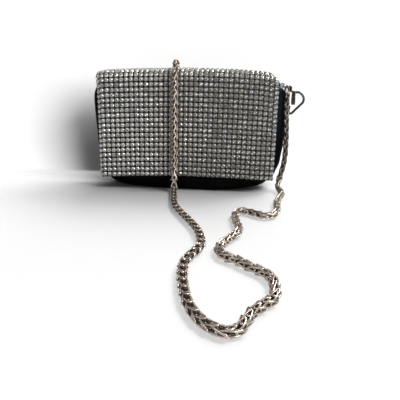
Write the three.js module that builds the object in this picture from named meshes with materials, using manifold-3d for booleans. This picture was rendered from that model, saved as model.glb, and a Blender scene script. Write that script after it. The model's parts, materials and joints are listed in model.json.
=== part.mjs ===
// Clutch bag: a soft satin pouch under a paved rhinestone-mesh flap, with a wheat-chain strap that
// lies over the top, down the front and out over the table, and hangs up to the right end.
// Millimetres, +Z up. Origin: middle of the flat underside of the pouch. The front faces -Y.

import * as THREE from 'three';
import { mergeVertices } from 'three/addons/utils/BufferGeometryUtils.js';
import Module from 'manifold-3d';

const wasm = await Module();
wasm.setup();

// ---------------------------------------------------------------- driving dimensions

const GAP = 0.3; // between neighbouring pieces

// pouch: one row per level, from the table up. Reach of the plan outline to the left, right, front
// and back, and the exponent of its rounded corners.
const POUCH_LEVELS = [
  { z: 0.0, left: 68.0, right: 68.0, front: 19.5, back: 19.5, square: 2.2 },
  { z: 0.8, left: 75.5, right: 74.5, front: 23.0, back: 21.2, square: 2.25 },
  { z: 2.2, left: 80.0, right: 80.0, front: 24.5, back: 22.4, square: 2.3 },
  { z: 4.5, left: 84.5, right: 85.5, front: 25.0, back: 23.2, square: 2.4 },
  { z: 8.4, left: 88.0, right: 90.5, front: 24.9, back: 23.8, square: 2.6 },
  { z: 12.5, left: 91.0, right: 94.4, front: 24.5, back: 24.1, square: 2.85 },
  { z: 18.0, left: 93.4, right: 97.6, front: 24.2, back: 24.2, square: 3.1 },
  { z: 27.0, left: 95.6, right: 101.0, front: 23.9, back: 23.9, square: 3.2 },
  { z: 43.0, left: 97.6, right: 103.8, front: 22.9, back: 22.9, square: 3.2 },
  { z: 60.0, left: 98.8, right: 104.9, front: 21.9, back: 21.9, square: 3.2 },
  { z: 75.0, left: 99.8, right: 105.0, front: 21.0, back: 21.0, square: 3.2 },
  { z: 92.0, left: 100.6, right: 104.2, front: 19.9, back: 19.9, square: 3.2 },
  { z: 103.0, left: 100.0, right: 103.0, front: 19.1, back: 19.1, square: 3.2 },
  { z: 108.0, left: 98.6, right: 102.2, front: 18.6, back: 18.6, square: 3.2 },
  { z: 112.0, left: 97.0, right: 100.4, front: 18.1, back: 18.1, square: 3.2 },
  { z: 113.2, left: 96.4, right: 97.4, front: 17.9, back: 17.9, square: 3.2 },
  { z: 118.0, left: 94.0, right: 95.8, front: 16.8, back: 16.8, square: 3.2 },
];
const POUCH_WALL = 2.0; // satin over a thin board
// the slack satin bulges forward at the foot: reach, where along the width, half breadth, height
const FOOT_BULGE = { reach: 2.6, x: 36.0, breadth: 20.0, z: 3.0, fade: 9.0 };
const GUSSET_TOP_DROP = 8.0; // the mouth is this much lower at both ends
const GUSSET_DROP_FROM = 68.0; // height where that drop starts
const POUCH_SIDES = 56;

// flap: paved mesh, folded over the top. u runs along X, v along the profile from the front hem.
const FLAP_WIDTH = 185;
const FLAP_THICKNESS = 2.4;
const FLAP_FRONT_Y = -28.0; // outer face at the front hem
const FLAP_HEM_Z = 14.0;
const FLAP_LEAN = THREE.MathUtils.degToRad(3.64); // the front leans back
const FLAP_TOP_Z = 124.0;
const FLAP_FOLD_RADIUS = 8.0;
const FLAP_BACK_Y = 22.0; // outer face behind
const FLAP_BACK_HEM_Z = 98.0;
// how the soft mesh hangs along its width: lift of the whole column, drop of its top corner
const FLAP_HANG = [
  { u: -92.5, lift: -2.9, cornerDrop: 1.0 },
  { u: -84.0, lift: -2.3, cornerDrop: 0.0 },
  { u: -46.0, lift: -0.5, cornerDrop: 0.0 },
  { u: 0.0, lift: 0.9, cornerDrop: 0.0 },
  { u: 46.0, lift: 0.3, cornerDrop: 0.0 },
  { u: 74.0, lift: -0.7, cornerDrop: 0.2 },
  { u: 80.0, lift: -0.8, cornerDrop: 0.9 },
  { u: 86.0, lift: -0.8, cornerDrop: 2.8 },
  { u: 89.5, lift: -0.8, cornerDrop: 5.0 },
  { u: 92.5, lift: -0.8, cornerDrop: 8.5 },
];
const CORNER_DROP_FROM = 36; // height where the top corner's drop starts

// chain: a wheat chain, drawn as the tube that it fills
const CHAIN_RADIUS = 3.2; // drawn straight by its weight
const CHAIN_EDGEWISE = 0.6; // thicker by this over the top and down the front, where its square section stands on edge
const CHAIN_SLACK = 0.4; // thicker by this where it lies loose on the table
const CHAIN_BUNCHED = 0.5; // and by this in the bow farthest from the bag
const CHAIN_SIDES = 10;
const CHAIN_STEPS = 120;
const CHAIN_X = -10.2; // where it crosses the top of the bag
const CHAIN_VEER = 5.0; // how far it veers to the left on its way over the top to the back
const CHAIN_CLEAR = 0.5; // chain surface to flap
const CHAIN_OFF_TABLE = 0.1; // underside of the lying chain
const CHAIN_START = { x: -97.5, y: 26.5, z: 88.0 }; // at the hidden clasp
const CHAIN_END = { x: 103.9, y: -9.6, z: 102.2 }; // at the right ring
const BACK_DRAPE = [ // slack of the hidden stretch behind the bag
  { x: -94.6, y: 28.9, z: 79.5 },
  { x: -84.0, y: 28.8, z: 69.0 },
  { x: -65.0, y: 28.0, z: 63.0 },
  { x: -45.0, y: 27.4, z: 67.5 },
  { x: -29.0, y: 26.9, z: 85.0 },
  { x: -18.0, y: 26.6, z: 108.0 },
];
const TABLE_BENDS = [ // the loop on the table, out from the bag and back
  { x: -7.4, y: -60.0 },
  { x: -2.0, y: -94.9 },
  { x: 7.2, y: -119.4 },
  { x: 16.1, y: -138.5 },
  { x: 24.7, y: -162.3 },
  { x: 28.7, y: -184.1 },
  { x: 28.5, y: -196.4 },
  { x: 23.6, y: -210.2 },
  { x: 20.2, y: -224.6 },
  { x: 20.7, y: -243.7 },
  { x: 23.4, y: -263.2 },
  { x: 27.6, y: -281.1 },
  { x: 32.3, y: -292.6 },
  { x: 38.0, y: -301.6 },
  { x: 44.2, y: -307.5 },
  { x: 51.0, y: -310.4 },
  { x: 55.9, y: -308.0 },
  { x: 60.3, y: -299.3 },
  { x: 64.5, y: -288.8 },
  { x: 71.0, y: -279.6 },
  { x: 77.8, y: -270.4 },
  { x: 79.7, y: -257.3 },
  { x: 78.3, y: -243.4 },
  { x: 72.9, y: -235.0 },
  { x: 64.8, y: -227.5 },
  { x: 55.4, y: -217.3 },
  { x: 46.6, y: -210.5 },
  { x: 42.8, y: -199.4 },
  { x: 44.2, y: -188.5 },
  { x: 49.8, y: -176.3 },
  { x: 56.8, y: -160.8 },
  { x: 57.4, y: -147.8 },
  { x: 54.9, y: -131.1 },
  { x: 54.1, y: -115.3 },
  { x: 58.2, y: -105.0 },
  { x: 65.9, y: -105.8 },
  { x: 73.2, y: -111.5 },
  { x: 79.7, y: -115.9 },
  { x: 85.9, y: -114.6 },
  { x: 91.0, y: -105.0 },
  { x: 93.4, y: -88.2 },
  { x: 94.3, y: -72.8 },
  { x: 98.2, y: -56.2 },
  { x: 101.2, y: -42.4 },
];
const RIGHT_HANG = [ // from the table up to the right ring
  { x: 100.2, y: -32.5, z: 4.3 },
  { x: 99.1, y: -26.0, z: 5.0 },
  { x: 99.6, y: -21.4, z: 10.8 },
  { x: 101.4, y: -18.5, z: 18.4 },
  { x: 104.1, y: -16.5, z: 28.9 },
  { x: 105.1, y: -15.5, z: 40.9 },
  { x: 104.9, y: -14.5, z: 58.7 },
  { x: 103.9, y: -13.0, z: 79.3 },
  { x: 103.6, y: -11.2, z: 94.8 },
];

// end fittings
const TAB_WIDTH = 8.0;
const TAB_STRAP = 1.2; // thickness of the folded strap
const TAB_LENGTH = 5.0;
const TAB_HEIGHT = 5.0;
const RING_HALF_WIDTH = 5.2; // half of the D ring's straight bar
const RING_DEPTH = 7.2; // from the bar to the middle of the bow
const RING_WIRE = 0.6; // radius of the wire
const RING_DROOP = Math.atan2(0.39, 0.92);
const RIGHT_ROOT = { x: 97.6, y: 0.0, z: 108.2, turn: 0 };
const LEFT_ROOT = { x: -94.6, y: 10.5, z: 106.0, turn: THREE.MathUtils.degToRad(125.7) };

// trigger clasp at the right end, in the plane y = CLASP_Y
const CLASP_Y = 0.3;
const EYE_RADIUS = 1.75;
const EYE_WIRE = 0.85;
const HOOK_WIRE = 1.25;
const HOOK_BENDS = [ // axis of the hook's wire, from the neck round to the nose
  { x: 109.2, z: 103.1 },
  { x: 112.8, z: 102.5 },
  { x: 116.6, z: 102.0 },
  { x: 120.3, z: 99.3 },
  { x: 122.0, z: 95.6 },
  { x: 121.4, z: 91.8 },
  { x: 118.4, z: 88.5 },
  { x: 115.3, z: 85.3 },
  { x: 112.4, z: 82.2 },
  { x: 110.3, z: 80.2 },
  { x: 108.3, z: 80.0 },
  { x: 107.2, z: 81.9 },
  { x: 107.3, z: 84.6 },
  { x: 108.0, z: 87.0 },
];
const PIVOT = { x: 111.2, z: 98.7 };
const PIVOT_PIN = 0.9;
const LEVER_HUB = 1.9;
const LEVER_BORE = 1.25;
const LEVER_THICK = 2.0;
const LEVER_WIDTH = 4.2;
const LEVER_LENGTH = 9.6; // from the pivot to the lever's lower end
const CHEEK_THICK = 0.9;

// ---------------------------------------------------------------- helpers

const clamp01 = (t) => Math.min(1, Math.max(0, t));
const smooth = (t) => { const k = clamp01(t); return k * k * (3 - 2 * k); };

// value of a table's column at a key, smooth between rows
function column(rows, key, name, at) {
  if (at <= rows[0][key]) return rows[0][name];
  for (let i = 1; i < rows.length; i++) {
    if (at <= rows[i][key]) {
      const a = rows[i - 1], b = rows[i];
      return a[name] + (b[name] - a[name]) * smooth((at - a[key]) / (b[key] - a[key])) * 0.5
        + (b[name] - a[name]) * ((at - a[key]) / (b[key] - a[key])) * 0.5;
    }
  }
  return rows[rows.length - 1][name];
}

// closed geometry from points and triangles, turned so that its faces point out
function solid(points, triangles) {
  let volume = 0;
  for (const [a, b, c] of triangles) {
    const p = points[a], q = points[b], r = points[c];
    volume += p[0] * (q[1] * r[2] - q[2] * r[1]) - p[1] * (q[0] * r[2] - q[2] * r[0]) + p[2] * (q[0] * r[1] - q[1] * r[0]);
  }
  const index = [];
  for (const [a, b, c] of triangles) index.push(...(volume > 0 ? [a, b, c] : [a, c, b]));
  const geometry = new THREE.BufferGeometry();
  geometry.setAttribute('position', new THREE.Float32BufferAttribute(points.flat(), 3));
  geometry.setIndex(index);
  geometry.computeVertexNormals();
  return geometry;
}

// loft through rings of equal count, closed at both ends by a fan to the ring's middle
function loft(rings) {
  const n = rings[0].length;
  const points = rings.flat();
  const triangles = [];
  for (let r = 0; r + 1 < rings.length; r++) {
    for (let i = 0; i < n; i++) {
      const a = r * n + i, b = r * n + (i + 1) % n, c = a + n, d = b + n;
      triangles.push([a, b, d], [a, d, c]);
    }
  }
  const fan = (r, flip) => {
    const middle = [0, 1, 2].map((k) => rings[r].reduce((sum, p) => sum + p[k], 0) / n);
    const m = points.push(middle) - 1;
    for (let i = 0; i < n; i++) {
      const a = r * n + i, b = r * n + (i + 1) % n;
      triangles.push(flip ? [b, a, m] : [a, b, m]);
    }
  };
  fan(0, true);
  fan(rings.length - 1, false);
  return solid(points, triangles);
}

// solid between two equal grids of points, an outer and an inner sheet
function sheet(outer, inner) {
  const nu = outer.length, nv = outer[0].length, half = nu * nv;
  const points = [...outer.flat(), ...inner.flat()];
  const at = (u, v) => u * nv + v;
  const triangles = [];
  for (let u = 0; u + 1 < nu; u++) {
    for (let v = 0; v + 1 < nv; v++) {
      const a = at(u, v), b = at(u + 1, v), c = at(u + 1, v + 1), d = at(u, v + 1);
      triangles.push([a, b, c], [a, c, d], [half + a, half + c, half + b], [half + a, half + d, half + c]);
    }
  }
  const wall = (a, b) => triangles.push([a, half + b, b], [a, half + a, half + b]);
  for (let u = 0; u + 1 < nu; u++) { wall(at(u, 0), at(u + 1, 0)); wall(at(u + 1, nv - 1), at(u, nv - 1)); }
  for (let v = 0; v + 1 < nv; v++) { wall(at(0, v + 1), at(0, v)); wall(at(nu - 1, v), at(nu - 1, v + 1)); }
  return solid(points, triangles);
}

function roundShape(radius, sides) {
  return new THREE.Shape(Array.from({ length: sides }, (_, i) => {
    const t = (i + 0.5) / sides * 2 * Math.PI;
    return new THREE.Vector2(radius * Math.cos(t), radius * Math.sin(t));
  }));
}

// round wire or tube along a smooth curve through points
function tube(points, radius, sides, steps) {
  const path = new THREE.CatmullRomCurve3(points.map((p) => new THREE.Vector3(p.x, p.y, p.z)), false, 'centripetal');
  path.arcLengthDivisions = 2000;
  return new THREE.ExtrudeGeometry(roundShape(radius, sides), { steps, extrudePath: path, bevelEnabled: false });
}

function placed(geometry, { x = 0, y = 0, z = 0, rx = 0, ry = 0, rz = 0 }) {
  const matrix = new THREE.Matrix4().makeRotationFromEuler(new THREE.Euler(rx, ry, rz));
  matrix.setPosition(x, y, z);
  return geometry.clone().applyMatrix4(matrix);
}

function asManifold(geometry) {
  const plain = geometry.clone();
  plain.deleteAttribute('normal');
  plain.deleteAttribute('uv');
  const merged = mergeVertices(plain, 1e-4);
  return new wasm.Manifold(new wasm.Mesh({
    numProp: 3,
    vertProperties: Float32Array.from(merged.attributes.position.array),
    triVerts: Uint32Array.from(merged.index.array),
  }));
}

// soldered metal: several closed forms joined in one solid
function joined(geometries) {
  const whole = geometries.map(asManifold).reduce((a, b) => a.add(b));
  const mesh = whole.getMesh();
  const geometry = new THREE.BufferGeometry();
  geometry.setAttribute('position', new THREE.Float32BufferAttribute(mesh.vertProperties, 3));
  geometry.setIndex(Array.from(mesh.triVerts));
  geometry.computeVertexNormals();
  return geometry;
}

function piece(name, geometry, colour, roughness, metalness) {
  const mesh = new THREE.Mesh(geometry, new THREE.MeshStandardMaterial({ color: colour, roughness, metalness }));
  mesh.name = name;
  return mesh;
}

// ---------------------------------------------------------------- pouch

// one closed plan outline of the pouch at a level, set in by the wall for the inside
function pouchRing(z, inset) {
  const [left, right, front, back] = ['left', 'right', 'front', 'back'].map((name) => column(POUCH_LEVELS, 'z', name, z) - inset);
  const power = 2 / column(POUCH_LEVELS, 'z', 'square', z);
  const fall = smooth((z - GUSSET_DROP_FROM) / (POUCH_LEVELS.at(-1).z - GUSSET_DROP_FROM)) * GUSSET_TOP_DROP;
  const bulge = FOOT_BULGE.reach * smooth(z / 0.8) * (1 - smooth((z - FOOT_BULGE.z) / FOOT_BULGE.fade));
  return Array.from({ length: POUCH_SIDES }, (_, i) => {
    const t = i / POUCH_SIDES * 2 * Math.PI;
    const c = Math.sign(Math.cos(t)) * Math.abs(Math.cos(t)) ** power;
    const s = Math.sign(Math.sin(t)) * Math.abs(Math.sin(t)) ** power;
    const x = c * (c > 0 ? right : left);
    const forward = s < 0 ? bulge * -s * Math.exp(-(((x - FOOT_BULGE.x) / FOOT_BULGE.breadth) ** 2)) : 0;
    return [x, s * (s > 0 ? back : front) - forward, z - fall * Math.abs(c) ** 4];
  });
}

function pouchGeometry() {
  const outside = POUCH_LEVELS.map((level) => pouchRing(level.z, 0));
  const floor = POUCH_WALL;
  const inside = POUCH_LEVELS.filter((level) => level.z > floor + 1).map((level) => pouchRing(level.z, POUCH_WALL));
  const innerFloor = pouchRing(4.5, POUCH_WALL + 6).map(([x, y]) => [x, y, floor]);
  return loft([...outside, ...inside.reverse(), innerFloor]);
}

// ---------------------------------------------------------------- flap

// outer profile of the flap, front hem to back hem: position, and outward normal in the YZ plane
function flapProfile() {
  const r = FLAP_FOLD_RADIUS;
  const frontTop = FLAP_TOP_Z - r * (1 - Math.sin(FLAP_LEAN));
  const frontY = (z) => FLAP_FRONT_Y + (z - FLAP_HEM_Z) * Math.tan(FLAP_LEAN);
  const rows = [];
  const add = (y, z, heading) => rows.push({ y, z, ny: -Math.cos(heading), nz: Math.sin(heading) });
  const FRONT = 9, FOLD = 7, TOP = 4, BACK = 3;
  for (let i = 0; i < FRONT; i++) {
    const z = FLAP_HEM_Z + (frontTop - FLAP_HEM_Z) * i / FRONT;
    add(frontY(z), z, FLAP_LEAN);
  }
  const centreY = frontY(frontTop) + r * Math.cos(FLAP_LEAN), centreZ = FLAP_TOP_Z - r;
  for (let i = 0; i <= FOLD; i++) {
    const h = FLAP_LEAN + (Math.PI / 2 - FLAP_LEAN) * i / FOLD;
    add(centreY - r * Math.cos(h), centreZ + r * Math.sin(h), h);
  }
  const backCentreY = FLAP_BACK_Y - r;
  for (let i = 1; i < TOP; i++) add(centreY + (backCentreY - centreY) * i / TOP, FLAP_TOP_Z, Math.PI / 2);
  for (let i = 0; i <= FOLD; i++) {
    const h = Math.PI / 2 + Math.PI / 2 * i / FOLD;
    add(backCentreY - r * Math.cos(h), centreZ + r * Math.sin(h), h);
  }
  for (let i = 1; i <= BACK; i++) add(FLAP_BACK_Y, centreZ + (FLAP_BACK_HEM_Z - centreZ) * i / BACK, Math.PI);
  return rows;
}

// vertical shift of the hanging mesh at a column and height
function flapHang(u, z) {
  const drop = column(FLAP_HANG, 'u', 'cornerDrop', u);
  return column(FLAP_HANG, 'u', 'lift', u) - drop * smooth((z - CORNER_DROP_FROM) / (FLAP_TOP_Z - CORNER_DROP_FROM));
}

function flapGeometry() {
  const profile = flapProfile();
  const stations = FLAP_HANG.flatMap((row, i) => (i === 0 ? [row.u]
    : row.u - FLAP_HANG[i - 1].u > 20 ? [(row.u + FLAP_HANG[i - 1].u) / 2, row.u] : [row.u]));
  const grid = (depth) => stations.map((u) => profile.map(({ y, z, ny, nz }) => [
    u * FLAP_WIDTH / 185, y - depth * ny, z - depth * nz + flapHang(u, z)]));
  return sheet(grid(0), grid(FLAP_THICKNESS));
}

// ---------------------------------------------------------------- chain

function chainRoute() {
  const away = CHAIN_RADIUS + CHAIN_EDGEWISE + CHAIN_CLEAR;
  const lift = column(FLAP_HANG, 'u', 'lift', CHAIN_X);
  const r = FLAP_FOLD_RADIUS + away + 0.35;
  const backCentreY = FLAP_BACK_Y - FLAP_FOLD_RADIUS;
  const frontTop = FLAP_TOP_Z - FLAP_FOLD_RADIUS;
  const frontY = (z) => FLAP_FRONT_Y + (z - FLAP_HEM_Z) * Math.tan(FLAP_LEAN);
  const frontCentreY = frontY(frontTop) + FLAP_FOLD_RADIUS;
  const over = [];
  for (const deg of [25, 60]) {
    const h = THREE.MathUtils.degToRad(deg);
    over.push({ x: CHAIN_X - CHAIN_VEER, y: backCentreY + r * Math.cos(h), z: frontTop + lift + r * Math.sin(h) });
  }
  over.push({ x: CHAIN_X - CHAIN_VEER / 2, y: (backCentreY + frontCentreY) / 2, z: frontTop + lift + r });
  for (const deg of [115, 150]) {
    const h = THREE.MathUtils.degToRad(deg);
    over.push({ x: CHAIN_X, y: frontCentreY + r * Math.cos(h), z: frontTop + lift + r * Math.sin(h) });
  }
  const front = [104, 75, 45, 22].map((z) => ({ x: CHAIN_X, y: frontY(z) - away, z }));
  const landing = [{ x: CHAIN_X + 0.2, y: -35.4, z: 10.5 }, { x: -9.4, y: -43.0, z: 4.6 }];
  const table = TABLE_BENDS.map(({ x, y }) => ({ x, y, z: chainRadius({ x, y, z: 0 }) + CHAIN_OFF_TABLE }));
  return [CHAIN_START, ...BACK_DRAPE, ...over, ...front, ...landing, ...table, ...RIGHT_HANG, CHAIN_END];
}

// half thickness of the chain at a place: loose links spread, most in the far bow
const chainRadius = ({ x, y, z }) => CHAIN_RADIUS + CHAIN_SLACK * smooth((20 - z) / 12) + CHAIN_BUNCHED * smooth((-110 - y) / 110)
  + CHAIN_EDGEWISE * smooth((18 - y) / 14) * smooth((z - 12) / 14) * smooth((40 - x) / 20);

function chainGeometry() {
  const path = new THREE.CatmullRomCurve3(chainRoute().map((p) => new THREE.Vector3(p.x, p.y, p.z)), false, 'centripetal');
  path.arcLengthDivisions = 4000;
  const { normals, binormals } = path.computeFrenetFrames(CHAIN_STEPS, false);
  return loft(normals.map((normal, i) => {
    const at = path.getPointAt(i / CHAIN_STEPS), radius = chainRadius(at);
    return Array.from({ length: CHAIN_SIDES }, (_, k) => {
      const t = (k + 0.5) / CHAIN_SIDES * 2 * Math.PI;
      const p = at.clone().addScaledVector(normal, radius * Math.cos(t)).addScaledVector(binormals[i], radius * Math.sin(t));
      return [p.x, p.y, p.z];
    });
  }));
}

// ---------------------------------------------------------------- end fittings

const tabHole = { x: TAB_LENGTH - 2.4, z: 0.8 };

// folded strap loop: side outline with the ring's hole, as wide as the strap
function tabGeometry() {
  const outline = new THREE.Shape();
  const end = tabHole.x, r = RING_WIRE + GAP + TAB_STRAP;
  outline.moveTo(0.3, -TAB_HEIGHT / 2);
  outline.lineTo(TAB_STRAP * 1.6, -TAB_HEIGHT / 2);
  outline.lineTo(end + r * 0.72, tabHole.z - r * 0.7);
  outline.absarc(end, tabHole.z, r, -0.78, Math.PI / 2, false);
  outline.lineTo(0.3, tabHole.z + r);
  const hole = new THREE.Path();
  hole.absarc(end, tabHole.z, RING_WIRE + GAP, 0, 2 * Math.PI, true);
  outline.holes.push(hole);
  const geometry = new THREE.ExtrudeGeometry(outline, { depth: TAB_WIDTH, bevelEnabled: false, curveSegments: 8 });
  return placed(geometry, { rx: Math.PI / 2, y: TAB_WIDTH / 2 });
}

// D ring: its straight bar lies in the tab, its bow droops outwards. Local x runs out, y along the bar.
const ringOuter = () => ({ x: tabHole.x + RING_DEPTH * Math.cos(RING_DROOP), z: tabHole.z - RING_DEPTH * Math.sin(RING_DROOP) });
function ringGeometry() {
  const bow = [];
  for (let i = 0; i <= 8; i++) {
    const t = -Math.PI / 2 + Math.PI * i / 8;
    bow.push({ x: RING_DEPTH * Math.cos(t) ** 0.8, y: RING_HALF_WIDTH * Math.sin(t), z: 0 });
  }
  bow[0].x = 0;
  bow[8].x = 0;
  const bar = placed(new THREE.CylinderGeometry(RING_WIRE, RING_WIRE, 2 * RING_HALF_WIDTH + 1.2, 12), {});
  const whole = joined([tube(bow, RING_WIRE, 8, 22), bar]);
  return placed(whole, { ry: RING_DROOP, x: tabHole.x, z: tabHole.z });
}

function endGroup(side, root) {
  const group = new THREE.Group();
  group.position.set(root.x, root.y, root.z);
  group.rotation.z = root.turn;
  group.add(piece(`${side}_tab`, tabGeometry(), 0x98a0aa, 0.5, 0.0));
  group.add(piece(`${side}_ring`, ringGeometry(), 0xb9b2ac, 0.25, 1.0));
  return group;
}

// trigger clasp: eye on the ring, bent wire hook, two cheeks and the pin that carries the lever
function claspHookGeometry() {
  const outer = ringOuter();
  const eye = { x: RIGHT_ROOT.x + outer.x, y: CLASP_Y, z: RIGHT_ROOT.z + outer.z };
  const wire = tube(HOOK_BENDS.map(({ x, z }) => ({ x, y: CLASP_Y, z })), HOOK_WIRE, 8, 44);
  const neck = placed(new THREE.SphereGeometry(1.4, 12, 8), { x: HOOK_BENDS[0].x - 0.3, y: CLASP_Y, z: HOOK_BENDS[0].z + 0.3 });
  const span = LEVER_THICK / 2 + 0.4 + CHEEK_THICK;
  const cheek = (s) => placed(new THREE.CylinderGeometry(LEVER_HUB, LEVER_HUB, CHEEK_THICK, 16),
    { x: PIVOT.x, y: CLASP_Y + s * (span - CHEEK_THICK / 2), z: PIVOT.z });
  const arm = (s) => placed(new THREE.BoxGeometry(3.0, CHEEK_THICK, 4.4),
    { x: PIVOT.x + 0.2, y: CLASP_Y + s * (span - CHEEK_THICK / 2), z: PIVOT.z + 2.0 });
  const bridge = placed(new THREE.BoxGeometry(3.0, 2 * span - 0.02, 1.5), { x: PIVOT.x + 0.2, y: CLASP_Y, z: PIVOT.z + 3.4 });
  const pin = placed(new THREE.CylinderGeometry(PIVOT_PIN, PIVOT_PIN, 2 * span - 0.1, 12), { x: PIVOT.x, y: CLASP_Y, z: PIVOT.z });
  const eyeRing = placed(new THREE.TorusGeometry(EYE_RADIUS, EYE_WIRE, 8, 20), { rx: Math.PI / 2, ...eye });
  return joined([wire, neck, eyeRing, bridge, cheek(1), cheek(-1), arm(1), arm(-1), pin]);
}

// thumb lever: flat bar on the pin, its lower end shut against the hook's nose
function claspLeverGeometry() {
  const w = LEVER_WIDTH / 2;
  const bar = new THREE.Shape();
  bar.absarc(0, 0, LEVER_HUB, -0.2, Math.PI + 0.2, false);
  bar.lineTo(-w, -LEVER_LENGTH + 1.2);
  bar.lineTo(-w + 1.0, -LEVER_LENGTH);
  bar.lineTo(w - 0.4, -LEVER_LENGTH);
  bar.lineTo(w + 0.2, -LEVER_LENGTH + 1.0);
  const bore = new THREE.Path();
  bore.absarc(0, 0, LEVER_BORE, 0, 2 * Math.PI, true);
  bar.holes.push(bore);
  const geometry = new THREE.ExtrudeGeometry(bar, { depth: LEVER_THICK, bevelEnabled: false, curveSegments: 8 });
  return placed(geometry, { rx: Math.PI / 2, y: LEVER_THICK / 2 });
}

// hidden clasp at the left end: an eye on the ring and a plain barrel down to the chain
function leftClaspGeometry() {
  const outer = ringOuter();
  const c = Math.cos(LEFT_ROOT.turn), s = Math.sin(LEFT_ROOT.turn);
  const eye = new THREE.Vector3(LEFT_ROOT.x + c * outer.x, LEFT_ROOT.y + s * outer.x, LEFT_ROOT.z + outer.z);
  const chain = new THREE.Vector3(CHAIN_START.x, CHAIN_START.y, CHAIN_START.z);
  const along = chain.clone().sub(eye).normalize();
  const from = eye.clone().addScaledVector(along, EYE_RADIUS + 0.2);
  const to = chain.clone().addScaledVector(along, -1.0);
  const barrel = new THREE.ExtrudeGeometry(roundShape(2.3, 10), { steps: 1, extrudePath: new THREE.LineCurve3(from, to), bevelEnabled: false });
  const turned = new THREE.Matrix4().makeRotationZ(LEFT_ROOT.turn)
    .multiply(new THREE.Matrix4().makeRotationX(Math.PI / 2)).setPosition(eye);
  const eyeRing = new THREE.TorusGeometry(EYE_RADIUS, EYE_WIRE, 8, 20).applyMatrix4(turned);
  return joined([eyeRing, barrel]);
}

// ---------------------------------------------------------------- assembly

const bag = new THREE.Group();
bag.add(piece('body_shell', pouchGeometry(), 0x0b0c12, 0.45, 0.0));
bag.add(piece('flap_panel', flapGeometry(), 0xb5b1aa, 0.3, 0.6));
bag.add(piece('chain', chainGeometry(), 0x8f8279, 0.3, 1.0));
bag.add(endGroup('right', RIGHT_ROOT));
bag.add(endGroup('left', LEFT_ROOT));
bag.add(piece('clasp_hook', claspHookGeometry(), 0x6d6a6b, 0.3, 1.0));
const lever = piece('clasp_lever', claspLeverGeometry(), 0x4a4244, 0.35, 1.0);
lever.position.set(PIVOT.x, CLASP_Y, PIVOT.z);
bag.add(lever);
bag.add(piece('left_clasp', leftClaspGeometry(), 0x8a847f, 0.3, 1.0));

export default bag;
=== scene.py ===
"""Clutch bag: satin pouch, rhinestone-mesh flap, wheat-chain strap, trigger clasp. Millimetres in the tables, metres in the scene."""
import json
import math

import bmesh
import bpy
import numpy as np
from mathutils import Matrix

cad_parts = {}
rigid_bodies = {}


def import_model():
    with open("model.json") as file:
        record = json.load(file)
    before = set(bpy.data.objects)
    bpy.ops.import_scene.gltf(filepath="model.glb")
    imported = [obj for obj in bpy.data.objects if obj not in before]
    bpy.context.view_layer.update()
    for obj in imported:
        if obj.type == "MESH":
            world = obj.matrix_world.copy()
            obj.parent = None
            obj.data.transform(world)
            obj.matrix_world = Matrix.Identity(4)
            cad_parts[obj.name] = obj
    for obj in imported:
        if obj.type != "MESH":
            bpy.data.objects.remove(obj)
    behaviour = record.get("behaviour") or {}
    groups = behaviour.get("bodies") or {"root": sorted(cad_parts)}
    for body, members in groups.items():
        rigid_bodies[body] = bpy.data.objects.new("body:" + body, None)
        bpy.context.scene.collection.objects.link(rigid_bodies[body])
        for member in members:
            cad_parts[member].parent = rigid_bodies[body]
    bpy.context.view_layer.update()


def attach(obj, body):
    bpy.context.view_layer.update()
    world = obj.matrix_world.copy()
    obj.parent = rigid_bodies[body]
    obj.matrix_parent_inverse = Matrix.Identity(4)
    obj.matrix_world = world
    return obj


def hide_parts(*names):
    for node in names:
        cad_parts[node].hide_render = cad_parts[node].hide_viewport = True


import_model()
MM = 0.001
TAU = 2 * math.pi
rng = np.random.default_rng(20)

# ---------------------------------------------------------------- camera

CAMERA_AT = (0.0512, -0.5386, 0.1446)
CAMERA_PITCH, CAMERA_YAW, CAMERA_ROLL = (math.radians(a) for a in (16.9, 3.85, 1.0))
CAMERA_LENS = 45.0


def make_camera():
    cp, sp = math.cos(CAMERA_PITCH), math.sin(CAMERA_PITCH)
    cy, sy = math.cos(CAMERA_YAW), math.sin(CAMERA_YAW)
    forward = np.array([-sy * cp, cy * cp, -sp])
    right = np.array([cy, sy, 0.0])
    up = np.cross(right, forward)
    c, s = math.cos(CAMERA_ROLL), math.sin(CAMERA_ROLL)
    right, up = c * right + s * up, -s * right + c * up
    data = bpy.data.cameras.new("camera")
    data.lens, data.sensor_width, data.sensor_fit = CAMERA_LENS, 36.0, "HORIZONTAL"
    data.clip_start, data.clip_end = 0.01, 100.0
    camera = bpy.data.objects.new("camera", data)
    bpy.context.scene.collection.objects.link(camera)
    m = np.eye(4)
    m[:3, 0], m[:3, 1], m[:3, 2], m[:3, 3] = right, up, -forward, CAMERA_AT
    camera.matrix_world = Matrix(m.tolist())
    bpy.context.scene.camera = camera


make_camera()

# ---------------------------------------------------------------- small helpers


def smooth(t):
    k = np.clip(t, 0.0, 1.0)
    return k * k * (3 - 2 * k)


def table(rows, key, name, at):
    """Between two rows of a table: half linear, half eased."""
    keys = np.array([r[key] for r in rows], float)
    values = np.array([r[name] for r in rows], float)
    at = np.clip(np.asarray(at, float), keys[0], keys[-1])
    i = np.clip(np.searchsorted(keys, at) - 1, 0, len(keys) - 2)
    t = (at - keys[i]) / (keys[i + 1] - keys[i])
    t = 0.5 * (t + smooth(t))
    return values[i] + (values[i + 1] - values[i]) * t


def unit(v):
    v = np.asarray(v, float)
    return v / np.maximum(np.linalg.norm(v, axis=-1, keepdims=True), 1e-12)


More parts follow.
